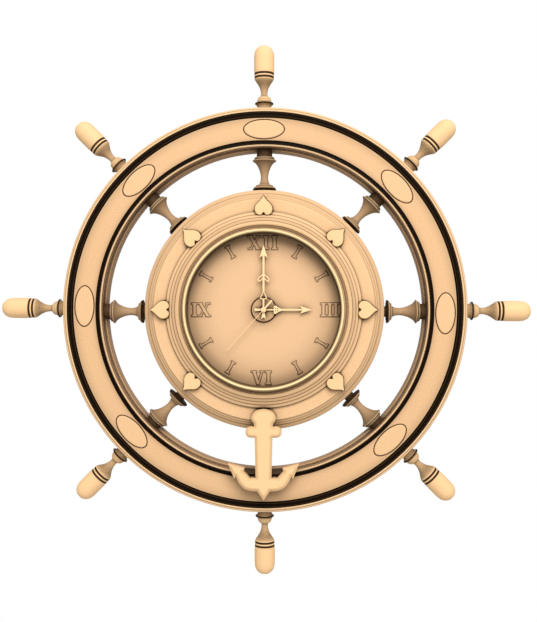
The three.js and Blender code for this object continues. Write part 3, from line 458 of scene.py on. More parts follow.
def turned_ring(name, profile, sides=WHEEL_SIDES):
    """A ring about the wheel's axis from a closed profile of (radius, depth, round[, shade])."""
    return lathe(name, rounded(profile, True), sides, on_wheel, True)


def turned_spoke(name, profile):
    """A piece turned about a spoke's line, from an open profile of (radius, distance from the
    wheel's centre, round[, shade])."""
    return lathe(name, rounded(profile, False), SPOKE_SIDES, on_spoke, False)


def shade_by(piece, amount):
    """Adds shade to a piece: amount gives it for a spot in millimetres, as (x, depth, z)."""
    layer = piece.data.attributes["shade"].data
    for corner, value in zip(piece.data.vertices, layer):
        value.value += amount(corner.co.x / MM, -corner.co.y / MM, corner.co.z / MM)


def turn_about_axis(piece, degrees):
    """Turns a piece clockwise about the wheel's axis, as seen from the front."""
    piece.data.transform(Matrix.Rotation(math.radians(degrees), 4, "Y"))


def spoke_angle(spoke):
    """How far clockwise of the top a spoke lies, in degrees."""
    return spoke * 360 / SPOKES


def smooth_path(points):
    """A curve through the points, as more points."""
    made = []
    last = len(points) - 1
    for i in range(last):
        a, b, c, d = (np.array(points[min(max(i + k, 0), last)], float) for k in (-1, 0, 1, 2))
        for step in range(PATH_STEPS):
            s = step / PATH_STEPS
            spot = 2 * b + (c - a) * s + (2 * a - 5 * b + 4 * c - d) * s * s
            spot += (3 * b - a - 3 * c + d) * s ** 3
            made.append(tuple(spot / 2))
    return [*made, tuple(points[-1])]


def around(items):
    """Each item with the next one, and the last with the first."""
    return list(zip(items, [*items[1:], items[0]]))


def mirrored(half):
    """The right half of an outline, from its top to its bottom, and its mirror image."""
    left = [(-x, z) for x, z in half if abs(x) > 1e-9]
    return list(half) + left[::-1]


def moved(shape, x, z):
    """The outline moved sideways and up."""
    return [(a + x, b + z) for a, b in shape]


def beyond(shape, axis, level, sign):
    """The part of an outline that lies on one side of a level: above it where sign is 1."""
    kept = []
    for here, there in around(shape):
        from_level = sign * (here[axis] - level)
        to_level = sign * (there[axis] - level)
        if from_level >= 0:
            kept.append(tuple(here))
        if (from_level >= 0) != (to_level >= 0):
            share = from_level / (from_level - to_level)
            kept.append(tuple(a + share * (b - a) for a, b in zip(here, there)))
    return kept


def circle(x, z, radius, count=SMALL_SIDES):
    turns = (2 * math.pi * i / count for i in range(count))
    return [(x + radius * math.sin(turn), z + radius * math.cos(turn)) for turn in turns]


def shrunk(shape, distance):
    """The outline moved in by a distance, or out where it is below 0."""
    points = np.array(shape)
    following = np.roll(points, -1, axis=0)
    after = following - points
    before = points - np.roll(points, 1, axis=0)
    after /= np.linalg.norm(after, axis=1)[:, None]
    before /= np.linalg.norm(before, axis=1)[:, None]
    normal = np.stack([after[:, 1] + before[:, 1], -after[:, 0] - before[:, 0]], axis=1)
    normal /= np.linalg.norm(normal, axis=1)[:, None]
    square = np.stack([after[:, 1], -after[:, 0]], axis=1)
    slant = np.maximum((normal * square).sum(1), LEAST_SLANT)
    area = (points[:, 0] * following[:, 1] - following[:, 0] * points[:, 1]).sum()
    inward = -1 if area > 0 else 1
    return [tuple(p) for p in points + inward * normal * (distance / slant)[:, None]]


def outer_edges(shapes, holes):
    """The edge segments of all shapes joined together, less the holes."""
    coords, faces = [], []
    for shape in [*shapes, *holes]:
        area = sum(a[0] * b[1] - b[0] * a[1] for a, b in around(shape))
        faces.append(list(range(len(coords), len(coords) + len(shape))))
        coords += [Vector(point) for point in (shape if area > 0 else shape[::-1])]
    made, _, triangles, _, _, origins = delaunay_2d_cdt(coords, [], faces, 1, 1e-5)
    seen = {}
    for triangle, origin in zip(triangles, origins):
        if origin and max(origin) < len(shapes):
            for a, b in around(triangle):
                pair = (min(a, b), max(a, b))
                seen[pair] = seen.get(pair, 0) + 1
    return [(made[a], made[b]) for (a, b), times in seen.items() if times == 1]


def distances(points, segments):
    """The least distance of each point to the segments."""
    starts = np.array([[a.x, a.y] for a, _ in segments])
    ends = np.array([[b.x, b.y] for _, b in segments])
    along = ends - starts
    lengths = np.maximum((along ** 2).sum(1), 1e-12)
    least = np.full(len(points), 1e9)
    for start, run, length in zip(starts, along, lengths):
        share = np.clip(((points - start) @ run) / length, 0, 1)
        gap = np.linalg.norm(points - start - share[:, None] * run, axis=1)
        least = np.minimum(least, gap)
    return least


def inside(points, segments):
    """Which of the points lie within the segments."""
    crossings = np.zeros(len(points), int)
    for a, b in segments:
        spans = (points[:, 1] < a.y) != (points[:, 1] < b.y)
        with np.errstate(divide="ignore", invalid="ignore"):
            x = a.x + (points[:, 1] - a.y) * (b.x - a.x) / (b.y - a.y)
        crossings += (spans & (points[:, 0] < x)).astype(int)
    return crossings % 2 == 1


def split_edges(segments, spacing):
    """The segments cut into short ones: their points, and pairs of the points' numbers."""
    coords, edges, known = [], [], {}

    def corner(point):
        key = (round(point[0], 4), round(point[1], 4))
        if key not in known:
            known[key] = len(coords)
            coords.append(Vector(point))
        return known[key]

    for a, b in segments:
        count = max(1, int((b - a).length / spacing))
        spots = [corner(a.lerp(b, i / count)) for i in range(count + 1)]
        edges += [pair for pair in zip(spots, spots[1:]) if pair[0] != pair[1]]
    return coords, edges


def inner_points(segments, coords, bevel, spacing):
    """Points within the segments: along the middle and the top of the bevels, and a lattice."""
    beside = []
    for a, b in segments:
        run = (b - a).normalized()
        count = max(1, int((b - a).length / spacing))
        for i in range(count):
            spot = a.lerp(b, (i + 0.5) / count)
            for sign in (-1, 1):
                for share in (0.5, 1.0):
                    beside.append(spot + sign * share * bevel * Vector((run.y, -run.x)))
    low = np.min([c[:] for c in coords], axis=0)
    high = np.max([c[:] for c in coords], axis=0)
    columns = np.arange(low[0], high[0], spacing * LATTICE_STEP)
    lines = np.arange(low[1], high[1], spacing * LATTICE_STEP)
    shift = spacing * LATTICE_SHIFT
    lattice = [(x + (j % 2) * shift, z) for j, z in enumerate(lines) for x in columns]
    spots = np.array([spot[:] for spot in beside] + lattice)
    spots = spots[inside(spots, segments)]
    wanted = distances(spots, segments) > min(GAP_OF_SPACING * spacing, GAP_OF_BEVEL * bevel)
    return [Vector(spot) for spot in thinned(spots[wanted], POINT_GAP * min(spacing, bevel))]


def relief(name, shapes, back, front, bevel, drop, spacing, holes=(), shade=0.0, edge_shade=0.0):
    """A plate that faces the front, with edges that fall by drop over the bevel's width.

    Shapes are outlines in (x, z). Where two bevels meet they form a ridge or a valley. Shade says
    how much painted shade lies on the plate, and edge_shade how much more on its bevels and back."""
    segments = outer_edges(shapes, holes)
    coords, edges = split_edges(segments, spacing)
    coords += inner_points(segments, coords, bevel, spacing)
    made, _, triangles, _, _, _ = delaunay_2d_cdt(coords, edges, [], 0, 1e-6)
    flat = np.array([point[:] for point in made])
    middles = np.array([flat[list(t)].mean(axis=0) for t in triangles])
    triangles = [t for t, keep in zip(triangles, inside(middles, segments)) if keep]
    share = np.clip(distances(flat, segments) / bevel, 0, 1)
    depth = front - drop * (1 - share)
    verts = [(x * MM, -h * MM, z * MM) for (x, z), h in zip(flat, depth)]
    behind = len(verts)
    verts += [(x * MM, -back * MM, z * MM) for x, z in flat]
    faces = [tuple(t) for t in triangles]
    faces += [tuple(v + behind for v in reversed(t)) for t in triangles]
    sides = dict.fromkeys(pair for t in triangles for pair in around(t))
    faces += [(b, a, a + behind, b + behind) for a, b in sides if (b, a) not in sides]
    shades = list(shade + edge_shade * (share < 0.99)) + [shade + edge_shade] * len(flat)
    return new_object(name, verts, faces, [0.0] * len(verts), shades)


def thinned(points, gap):
    """The points without those that lie closer than the gap to one kept before."""
    kept, cells = [], {}
    for point in points:
        i, j = int(point[0] // gap), int(point[1] // gap)
        nine = [(i + a, j + b) for a in (-1, 0, 1) for b in (-1, 0, 1)]
        near = [other for cell in nine for other in cells.get(cell, ())]
        if all((point[0] - o[0]) ** 2 + (point[1] - o[1]) ** 2 > gap * gap for o in near):
            kept.append(point)
            cells.setdefault((i, j), []).append(point)
    return kept


def coat(piece, material, wanted=None):
    """Gives the piece a material, or only those of its faces whose middle passes the test."""
    piece.data.materials.append(material)
    for polygon in piece.data.polygons:
        if wanted is None or wanted(polygon.center):
            polygon.material_index = len(piece.data.materials) - 1


def dress(piece, slot, *nodes, body="root"):
    """Attaches a piece to the body it rides on and hides the CAD nodes that it stands for; slot is
    not used.
    """
    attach(piece, body)
    if nodes:
        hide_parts(*nodes)


RIM_WOOD = wood("rim_wood", (162, 130, 96), (181, 146, 109))
RIM_BACK_WOOD = wood("rim_back_wood", BROWN, BROWN_PALE)
HUB_WOOD = wood("hub_wood", (173, 140, 104), (186, 151, 113))
HANDLE_WOOD = wood("handle_wood", CREAM, CREAM_PALE)
SPINDLE_WOOD = wood("spindle_wood", BROWN, BROWN_PALE)
ORNAMENT_WOOD = wood("ornament_wood", CREAM, CREAM_PALE)
OVAL_WOOD = wood("oval_wood", (171, 139, 103), (181, 147, 110))
DIAL_WOOD = dial_wood()
BLACK_STAIN = stained("black_stain", (7, 4, 2), (52, 34, 18), 0.5)
OVAL_RING_SHADE = stained("oval_ring_shade_brown", (58, 38, 22), (84, 60, 38))
NUT_RIM_SHADE = stained("nut_rim_shade_brown", (84, 58, 36), (112, 82, 54))
RING_STAIN = stained("ring_stain", (40, 25, 13), (66, 44, 26))
BEZEL_PAINT = enamel("bezel_paint", (196, 168, 122), (206, 180, 134))
HAND_PAINT = enamel("hand_paint", (192, 160, 118), (202, 170, 128))
CASE_PLASTIC = moulded("case_plastic", (46, 46, 48), 0.55)
GEAR_PLASTIC = moulded("gear_plastic", (225, 220, 205), 0.5)
BOARD = moulded("board", (40, 92, 58), 0.5)
BATTERY_WRAP = moulded("battery_wrap", (92, 98, 106), 0.3, 0.5)
MAGNET_STEEL = metal("magnet_steel", (0.42, 0.42, 0.44, 1), 0.4)
CONTACT_STEEL = metal("contact_steel", (0.6, 0.6, 0.6, 1), 0.35, (1, 1, 6))
WIRE = wound_wire()


# Rim


def beside_band(spot):
    """Where the black of the two bands runs over the edges of the wood beside them."""
    radius = spot.xz.length / MM
    inner = INNER_BAND - 0.05 < radius < FACE_INNER + 0.4
    outer = OUTER_BAND - 0.1 < radius < OUTER_BEAD + 0.3
    return -spot.y / MM > BAND_FLOOR - 0.5 and (inner or outer)


# Painted shade on the rim between the anchor's arms: how much, how far to each side and how it
# fades out
ANCHOR_SHADE_AMOUNT = 0.7
ANCHOR_SHADE_REACH = 33
ANCHOR_SHADE_FADE = 12


def under_anchor(x, depth, z):
    """How much painted shade the rim's inner edge gets between the anchor's arms, where the anchor
    shades it.
    """
    if z >= 0 or math.hypot(x, z) >= INNER_BAND + 0.5 or depth <= SPOKE_DEPTH:
        return 0.0
    share = (ANCHOR_SHADE_REACH - abs(x)) / ANCHOR_SHADE_FADE
    return ANCHOR_SHADE_AMOUNT * max(0.0, min(1.0, share))


def build_rim():
    inner, outer, middle = RIM_INNER, RIM_OUTER, SPOKE_DEPTH
    face, floor = RIM_FACE, BAND_FLOOR
    back = turned_ring("rim_back", [
        (inner, RIM_STAND_OFF, 2), (outer, RIM_STAND_OFF, 2), (outer, middle - 0.1, 0.8),
        (inner + 0.5, middle - 0.1, 0.4, 0.6), (inner, middle - 1.2, 0.5, 0.1),
    ])
    coat(back, RIM_BACK_WOOD)
    dress(back, "rim_wood", "rim_back_ring")
    top = face + 0.3
    front = turned_ring("rim_front", [
        (inner + 0.5, middle + 0.1, 0.4, 0.85), (outer, middle, 0.8), (outer, floor - 3, 0.8, 0.1),
        (outer, floor - 0.6, 1.2), (outer - 1.3, top - 1, 0.8),
        (OUTER_BEAD + 2.4, top - 1, 0.4, 0.04), (OUTER_BEAD + 1.7, top, 0.5),
        (OUTER_BEAD + 0.2, top - 0.2, 0.5), (OUTER_BEAD, floor, 0.2), (OUTER_BAND, floor, 0.2),
        (OUTER_BAND, face, 0.4, 0.3), (OUTER_BAND - 1.5, face, 0.3, 0.22),
        (OUTER_BAND - 5, face, 0.3, 0.09), (OUTER_BAND - 9.5, face, 0.3),
        (FACE_INNER + 7, face, 0.3), (FACE_INNER + 3.4, face, 0.3, 0.08),
        (FACE_INNER + 1.5, face, 0.3, 0.22), (FACE_INNER, face, 0.4, 0.3), (FACE_INNER, floor, 0.2),
        (INNER_BAND, floor, 0.2), (INNER_BAND, top - 0.3, 0.5, 0.1), (inner + 3.2, top, 0.5, 0.02),
        (inner + 2.3, top - 0.5, 0.4, 0.15), (inner + 2.1, floor + 0.6, 0.6, 0.6),
        (inner + 2.7, floor - 2.6, 0.6, 0.85), (inner + 2.1, floor - 3.8, 0.4, 0.35),
        (inner + 2, floor - 5, 0.4, 0.35), (inner + 2.4, floor - 6, 0.4, 0.85),
        (inner + 2.3, floor - 7.8, 1.2, 0.85), (inner + 0.8, floor - 11.6, 0.5, 0.7),
        (inner + 0.2, floor - 12.3, 0.4, 0.15), (inner, floor - 13.4, 0.5),
        (inner, middle + 0.8, 0.4, 0.2),
    ])
    shade_by(front, under_anchor)
    coat(front, RIM_WOOD)
    coat(front, BLACK_STAIN, beside_band)
    dress(front, "rim_wood", "rim_front_ring")
    edge = floor + 0.3
    inner_band = turned_ring("inner_band", [
        (INNER_BAND + 0.1, edge, 0.1), (FACE_INNER - 0.1, edge, 0.1),
        (FACE_INNER - 0.1, edge + 0.5, 0.3), (FACE_INNER - 1.6, edge + 0.9, 0.5),
        (INNER_BAND + 0.1, edge + 1.2, 0.4),
    ])
    coat(inner_band, BLACK_STAIN)
    dress(inner_band, "black_inlay", "rim_inlay_inner")
    line = OUTER_BAND + 2.4
    outer_band = turned_ring("outer_band", [
        (OUTER_BAND + 0.1, edge, 0.1), (OUTER_BEAD - 0.1, edge, 0.1),
        (OUTER_BEAD - 0.1, edge + 0.9, 0.4), (line + 1, edge + 0.5, 0.4), (line, edge + 1.6, 0.35),
        (line - 1, edge + 0.5, 0.4), (OUTER_BAND + 0.1, edge + 0.7, 0.3),
    ])
    coat(outer_band, BLACK_STAIN)
    dress(outer_band, "black_inlay", "rim_inlay_outer")


# Handles and spindles


# They were set one by one: how far clockwise each handle sits, in degrees, and how far below the
# wheel's centre the ring of spindles is centred
HANDLE_DRIFT = (-0.07, 0.14, 0.3, 0.02, -0.06, -0.2, 0.43, -0.24)
SPINDLE_DROP = 2.0

# Between which distances from the wheel's centre the handle's rings and disc are stained, and below
# which one, and how far off the spoke's line, the spindle's disc is
HANDLE_RINGS = ((262.05, 264.3), (266.05, 268.3))
HANDLE_DISC = (232.9, 234.8)
SPINDLE_DISC_TOP = 139.3
SPINDLE_DISC_EDGE = 12.4

HANDLE_PROFILE = [
    (0, RIM_OUTER - 3), (7.8, RIM_OUTER - 3, 0.3, 0.4), (7.9, 230.9, 0.6, 0.25),
    (9, 232.4, 0.5, 0.3), (10.4, 233.3, 0.3), (10.45, 234.5, 0.3), (9.3, 234.9, 0.2, 0.2),
    (8.7, 235.2, 0.2, 0.4), (8.25, 235.6, 0.3, 0.2), (8.1, 237.5, 0.4, 0.2),
    (7.6, 238.4, 0.2, 0.35), (7.4, 239.2, 0.8, 0.2), (6.6, 240.7, 1, 0.25), (5.3, 241.8, 1, 0.3),
    (4.1, 242.5, 0.5, 0.45), (3.65, 243.8, 1, 0.4), (3.68, 246, 3, 0.4), (3.95, 248, 5, 0.42),
    (4.35, 249.7, 8, 0.46), (4.9, 251.4, 8, 0.52), (5.6, 253.1, 8, 0.57), (6.5, 254.8, 8, 0.6),
    (7.6, 256.5, 8, 0.6), (8.8, 258.2, 6, 0.56), (9.9, 259.8, 3, 0.45), (10.7, 261.2, 0.6, 0.2),
    (10.9, 261.9, 0.3, 0.05), (10.6, 262.2, 0.2), (10.9, 262.5, 0.3), (10.95, 263.9, 0.3),
    (10.7, 264.2, 0.2), (11.05, 264.5, 0.3, 0.1), (11.1, 265.9, 0.3, 0.05), (10.8, 266.2, 0.2),
    (11.1, 266.5, 0.3), (11.15, 267.9, 0.3), (10.9, 268.2, 0.2), (11.3, 268.6, 0.3, 0.1),
    (11.4, 271, 1), (11.5, 274, 1), (11.5, 287, 8), (10.9, 292, 6), (9, 296, 5), (5.4, 299.1, 5),
    (0, 300.1),
]


def between(limits):
    """A test for faces that lie between two distances from the wheel's centre."""
    return lambda middle: limits[0] < middle.z / MM < limits[1]


def build_handles():
    for spoke in range(SPOKES):
        piece = turned_spoke(f"turned_handle_{spoke + 1}", HANDLE_PROFILE)
        coat(piece, HANDLE_WOOD)
        for ring in HANDLE_RINGS:
            coat(piece, RING_STAIN, between(ring))
        coat(piece, BLACK_STAIN, between(HANDLE_DISC))
        turn_about_axis(piece, spoke_angle(spoke) + HANDLE_DRIFT[spoke])
        dress(piece, "handle_wood", f"handle_{spoke + 1}")


SPINDLE_PROFILE = [
    (0, HUB_RADIUS - 4), (6, HUB_RADIUS - 4, 0.2), (6, 137.7, 0.2, 0.5), (13, 137.9, 0.3, 0.5),
    (13.35, 138.4, 0.3), (13.1, 139.1, 0.3), (12.7, 139.4, 0.2, 0.3), (12.3, 140.6, 0.5),
    (11.3, 141.3, 0.3, 0.1), (10, 141.5, 0.2, 0.6), (9.9, 141.9, 0.2, 0.3), (9.6, 143.2, 0.5),
    (8.2, 143.6, 0.2, 0.2), (6.6, 143.8, 0.2, 0.55), (5.8, 145, 0.6, 0.15), (5, 146.6, 2, 0.05),
    (4.55, 148.3, 4), (4.25, 150.2, 6), (4.15, 152, 8), (4.25, 153.8, 8), (4.45, 155.4, 8),
    (4.75, 157.1, 10, 0.04), (5.25, 158.8, 10, 0.08), (5.75, 160.4, 10, 0.12),
    (6.35, 162.1, 10, 0.17), (7.15, 163.8, 8, 0.22), (8.05, 165.5, 8, 0.28), (9.2, 167.2, 6, 0.36),
    (10.7, 168.9, 4, 0.42), (12.4, 170.1, 0.4, 0.5), (13.4, 170.6, 0.3, 0.1), (13.4, 171.6, 0.3),
    (12.4, 172, 0.3, 0.1), (10.7, 172.2, 0.2, 0.8), (10.7, 172.6, 0.2, 0.8),
    (11.5, 172.9, 0.3, 0.05), (11.5, 174, 0.4), (10.6, 174.4, 0.2, 0.5), (10.7, 175, 0.3, 0.1),
    (8.8, 175.5, 0.2, 0.8), (8.6, RIM_INNER + 4, 0.2, 0.8), (0, RIM_INNER + 4),
]


def on_disc_edge(middle):
    off_line = math.hypot(middle.x, middle.y + SPOKE_DEPTH * MM) / MM
    return off_line > SPINDLE_DISC_EDGE and middle.z / MM < SPINDLE_DISC_TOP


def build_spindles():
    for number, spoke in enumerate(FREE_SPOKES, 1):
        piece = turned_spoke(f"turned_spindle_{number}", SPINDLE_PROFILE)
        coat(piece, SPINDLE_WOOD)
        coat(piece, BLACK_STAIN, on_disc_edge)
        turn_about_axis(piece, spoke_angle(spoke))
        piece.data.transform(Matrix.Translation((0, 0, -SPINDLE_DROP * MM)))
        dress(piece, "spindle_wood", f"spindle_{number}")


# Hub


def build_hub():
    flat = HUB_FACE
    hub = turned_ring("turned_hub", [
        (BUSH_HOLE, RECESS_DEPTH, 0.3), (RECESS_RADIUS, RECESS_DEPTH, 1), (RECESS_RADIUS, 0.2, 1),
        (HUB_RADIUS, 0.2, 2), (HUB_RADIUS, 37.6, 0.8, 0.1), (133.3, 39.8, 0.9, 0.08),
        (131.4, 41.6, 1.2, 0.1), (128.7, 43.4, 0.6, 0.32), (128.2, 44.8, 0.6, 0.12),
        (126.3, 46.1, 0.8, 0.14), (125.7, 46.5, 0.4, 0.4), (125.2, 47.4, 0.5, 0.1),
        (124.1, 47.8, 0.5, 0.12), (123.6, 48.1, 0.3, 0.38), (123.2, 48.9, 0.4, 0.02),
        (122.7, 49.2, 0.3, 0.28), (HUB_FLAT_OUTER + 0.6, flat, 0.4, 0.04),
        (HUB_FLAT_OUTER - 1, flat, 0.4), (HUB_FLAT_INNER + 1.5, flat, 0.4),
        (HUB_FLAT_INNER, flat, 0.3, 0.1), (108.7, flat + 0.4, 0.5, 0.28),
        (107.9, flat + 3, 0.8, 0.08), (105.9, flat + 3.9, 0.8, 0.05),
        (104.7, flat + 4.2, 0.5, 0.28), (103.9, flat + 5.6, 0.8, 0.09),
        (102.4, flat + 6.3, 0.8, 0.05), (101.2, flat + 6.6, 0.5, 0.36),
        (100.4, flat + 7.8, 0.8, 0.22), (98.7, flat + 8.5, 0.8, 0.2), (97.5, flat + 8.8, 0.5, 0.38),
        (96.8, flat + 10.1, 0.6, 0.12), (94.6, flat + 10.9, 1, 0.05),
        (93.2, flat + 10.7, 0.6, 0.05), (92.2, flat + 9.5, 0.8, 0.18),
        (90.4, flat + 8.7, 0.8, 0.25), (89, flat + 9.3, 0.4, 0.08),
        (POCKET_RADIUS, flat + 9.5, 0.2, 0.1), (POCKET_RADIUS, FLOOR_FRONT, 0.3, 0.7),
        (BUSH_HOLE, FLOOR_FRONT, 0.3),
    ])
    coat(hub, HUB_WOOD)
    dress(hub, "hub_wood", "hub_body")


def build_bezel():
    back = DIAL_FACE + 0.3
    bezel = turned_ring("bezel", [
        (BEZEL_INNER, back, 0.2, 0.9), (BEZEL_OUTER, back, 0.2, 0.9),
        (BEZEL_OUTER, BEZEL_TOP - 5, 0.7, 0.4), (BEZEL_OUTER, BEZEL_TOP - 2.6, 0.7, 0.1),
        (BEZEL_OUTER - 0.2, BEZEL_TOP - 0.7, 0.6), (BEZEL_OUTER - 1.1, BEZEL_TOP, 0.6),
        (BEZEL_INNER + 1.1, BEZEL_TOP - 0.4, 0.5, 0.1), (BEZEL_INNER, BEZEL_TOP - 1.5, 0.5, 0.65),
        (BEZEL_INNER, BEZEL_TOP - 3, 0.5, 0.8), (BEZEL_INNER, BEZEL_TOP - 5, 0.5, 0.88),
    ])
    coat(bezel, BEZEL_PAINT)
    dress(bezel, "bezel_paint", "bezel_ring")


# Dial


# How high the serifs of the I, and those of the V and X, stand
I_SERIF = 1.15
BAR_SERIF = 1.1


def letter_i(height, stem, serif, slab=I_SERIF):
    """An upright letter with slab serifs, about its middle."""
    half = height / 2
    foot = half - slab
    return mirrored([
        (0, half), (serif / 2, half), (serif / 2, foot), (stem / 2 + 0.5, foot - 0.4),
        (stem / 2, foot - 1.4), (stem / 2, 1.4 - foot), (stem / 2 + 0.5, 0.4 - foot),
        (serif / 2, -foot), (serif / 2, -half), (0, -half),
    ])


def slanted(x_low, x_high, height, width):
    """A slanting stroke, from its middle at the bottom to its middle at the top."""
    half = height / 2
    return [
        (x_low - width / 2, -half), (x_low + width / 2, -half), (x_high + width / 2, half),
        (x_high - width / 2, half),
    ]


def serif_bar(x, z, width):
    return moved(slanted(x, x, BAR_SERIF, width), 0, z)


def letter_shapes(letter, height):
    """The outlines that make a letter, about its middle."""
    edge = height / 2 - BAR_SERIF / 2
    if letter == "I":
        return [letter_i(height, 2.9, 6.1)]
    if letter == "V":
        return [
            slanted(0.2, -4.6, height, 3.1), slanted(0.2, 4.4, height, 1.5),
            serif_bar(-4.6, edge, 5.6), serif_bar(4.4, edge, 4.4),
        ]
    return [
        slanted(4.4, -4.4, height, 3.3), slanted(-4.4, 4.4, height, 1.5),
        serif_bar(-4.5, edge, 5.4), serif_bar(4.5, edge, 4.4),
        serif_bar(-4.5, -edge, 4.4), serif_bar(4.5, -edge, 5.4),
    ]


def turned_shape(shape, degrees):
    """The outline turned clockwise about the wheel's axis."""
    angle = math.radians(degrees)
    return [
        (x * math.cos(angle) + z * math.sin(angle), z * math.cos(angle) - x * math.sin(angle))
        for x, z in shape
    ]


NUMERAL_HEIGHT = 14.8
NUMERALS = {
    "XII": [("X", -10.4, 74.1), ("I", 2.6, 74.1), ("I", 12.0, 74.1)],
    "III": [("I", 65.9, 0), ("I", 73.0, 0), ("I", 79.7, 0)],
    "VI": [("V", -6.2, -75.1), ("I", 5.2, -75.1)],
    "IX": [("I", -76.6, 0), ("X", -66.0, 0)],
}
HOUR_MARK_MIDDLE = 73.7
HOUR_MARK_LENGTH = 14.2
HOUR_MARK_SERIF = 0.8

# The painted shadow round each mark: how wide, and how much painted shade lies in it
MARK_SHADOW_WIDTH = 0.9
MARK_SHADOW_AMOUNT = 0.5


def build_dial():
    groove = NUT_RADIUS + 0.2
    face = turned_ring("dial_face", [
        (BUSH_HOLE, FLOOR_FRONT + 0.3, 0.2), (BEZEL_OUTER, FLOOR_FRONT + 0.3, 0.2),
        (BEZEL_OUTER, DIAL_FACE, 0.2), (groove + 1, DIAL_FACE, 0.3),
        (groove + 0.6, DIAL_FACE - 0.8, 0.2), (groove - 0.8, DIAL_FACE - 0.8, 0.2),
        (groove - 1.2, DIAL_FACE, 0.3), (BUSH_HOLE, DIAL_FACE, 0.2),
    ])
    coat(face, DIAL_WOOD)
    dress(face, "dial_wood", "dial")
    for hour in range(1, 12):
        if hour % 3 == 0:
            continue
        mark = letter_i(HOUR_MARK_LENGTH, 1.9, 5.0, HOUR_MARK_SERIF)
        mark = moved(mark, 0, HOUR_MARK_MIDDLE)
        raised(f"hour_mark_{hour}", [turned_shape(mark, hour * 30)])
    for name, letters in NUMERALS.items():
        shapes = []
        for letter, x, z in letters:
            shapes += [moved(shape, x, z) for shape in letter_shapes(letter, NUMERAL_HEIGHT)]
        raised(f"numeral_{name}", shapes)


def raised(name, shapes):
    """A mark raised from the dial, in a ring of painted shadow that runs round it."""
    line = [shrunk(shape, -MARK_SHADOW_WIDTH) for shape in shapes]
    under = relief(
        f"{name}_line", line, DIAL_FACE - 0.2, DIAL_FACE + 0.3, bevel=0.4, drop=0.2, spacing=0.6,
        shade=MARK_SHADOW_AMOUNT,
    )
    face = relief(
        name, shapes, DIAL_FACE - 0.1, DIAL_FACE + 0.9, bevel=0.5, drop=0.4, spacing=0.5,
    )
    for piece in (under, face):
        coat(piece, DIAL_WOOD)
        dress(piece, "dial_wood")


def build_nut():
    back = DIAL_FACE + 0.3
    nut = turned_ring("centre_disc", [
        (BUSH_HOLE, back, 0.2), (NUT_RADIUS, back, 0.2), (NUT_RADIUS, back + 1.4, 0.5),
        (NUT_RADIUS - 0.9, back + 2, 0.4), (BUSH_HOLE + 1.2, back + 2, 0.3),
        (BUSH_HOLE, back + 1.5, 0.2),
    ], NUT_SIDES)
    coat(nut, DIAL_WOOD)
    # The nut's edge is painted dark brown as painted shade where it meets the dial
    coat(nut, NUT_RIM_SHADE, lambda middle: middle.xz.length > (NUT_RADIUS - 0.5) * MM)
    dress(nut, "nut_paint", "dial_nut")


# Ornaments


# The ovals were set one by one: how far clockwise of its spoke's line each one sits, in degrees
OVAL_DRIFT = (0, 2.2, 1.1, 0.9, 0, 2.4, 1.2, 0.9)

# Half the length and width of each oval, and of the ring of painted shadow round it
OVAL_SIZE = (22.15, 10.15)
SHADOW_RING_OUTER = (23.5, 11.5)
SHADOW_RING_INNER = (22.05, 10.05)

# The depths of the hearts' and the anchor's tops, and how far the anchor's foot stands back
HEART_TOP = 57.0
ANCHOR_TOP = 60.0
ANCHOR_FOOT_INSET = 1.2

# The painted shadow round each heart: how wide, and how much painted shade lies in it
HEART_SHADOW_WIDTH = 1.2
HEART_SHADOW_AMOUNT = 0.75


def oval(size):
    """An oval on the middle of the rim's face, on the spoke that points up."""
    middle = (FACE_INNER + OUTER_BAND) / 2
    return [(size[0] * x, middle + size[1] * z) for x, z in circle(0, 0, 1, OVAL_SIDES)]


def build_ovals():
    for number, spoke in enumerate(FREE_SPOKES, 1):
        piece = relief(
            f"oval_{number}", [oval(OVAL_SIZE)], RIM_FACE - 2.2, RIM_FACE + 0.4,
            bevel=0.5, drop=0.35, spacing=1.2,
        )
        # The groove is a thin dark ring standing on the rim's face round the oval: a painted
        # shadow, not a cut or an inlay
        groove = relief(
            f"oval_shadow_ring_{number}", [oval(SHADOW_RING_OUTER)], RIM_FACE - 1.0, RIM_FACE + 0.1,
            bevel=0.3, drop=0.1, spacing=1.2, holes=[oval(SHADOW_RING_INNER)],
        )
        coat(piece, OVAL_WOOD)
        coat(groove, OVAL_RING_SHADE)
        for part in (piece, groove):
            turn_about_axis(part, spoke_angle(spoke) + OVAL_DRIFT[spoke])
        dress(piece, "ornament_wood", f"oval_plate_{number}")
        dress(groove, "black_inlay")


def heart_outline():
    """A heart on the hub's flat, on the spoke that points up, with its point outwards."""
    half = [
        (0, 3.2), (1.2, 2), (2.3, 0.5), (3.6, 0), (5.6, 0.3), (7.8, 1.6), (9.2, 3.9), (9.7, 6.6),
        (9.2, 9.4), (7.7, 11.9), (5.6, 14.1), (3.5, 16.2), (1.7, 18.4), (0, 21.3),
    ]
    return mirrored(smooth_path(moved(half, 0, HUB_FLAT_INNER - 5.6)))


def build_hearts():
    outline = heart_outline()
    for number, spoke in enumerate(FREE_SPOKES, 1):
        piece = relief(
            f"heart_plate_{number}", [outline], HUB_FACE - 1.0, HEART_TOP,
            bevel=0.7, drop=0.5, spacing=0.8,
        )
        # A ring of painted shadow on the hub round each heart
        line = relief(
            f"heart_line_{number}", [shrunk(outline, -HEART_SHADOW_WIDTH)], HUB_FACE - 0.6,
            HUB_FACE + 0.35, bevel=0.9, drop=0.3, spacing=0.8, shade=HEART_SHADOW_AMOUNT,
        )
        for part in (piece, line):
            coat(part, ORNAMENT_WOOD)
            turn_about_axis(part, spoke_angle(spoke))
        dress(piece, "ornament_wood", f"heart_{number}")
        dress(line, "hub_wood")


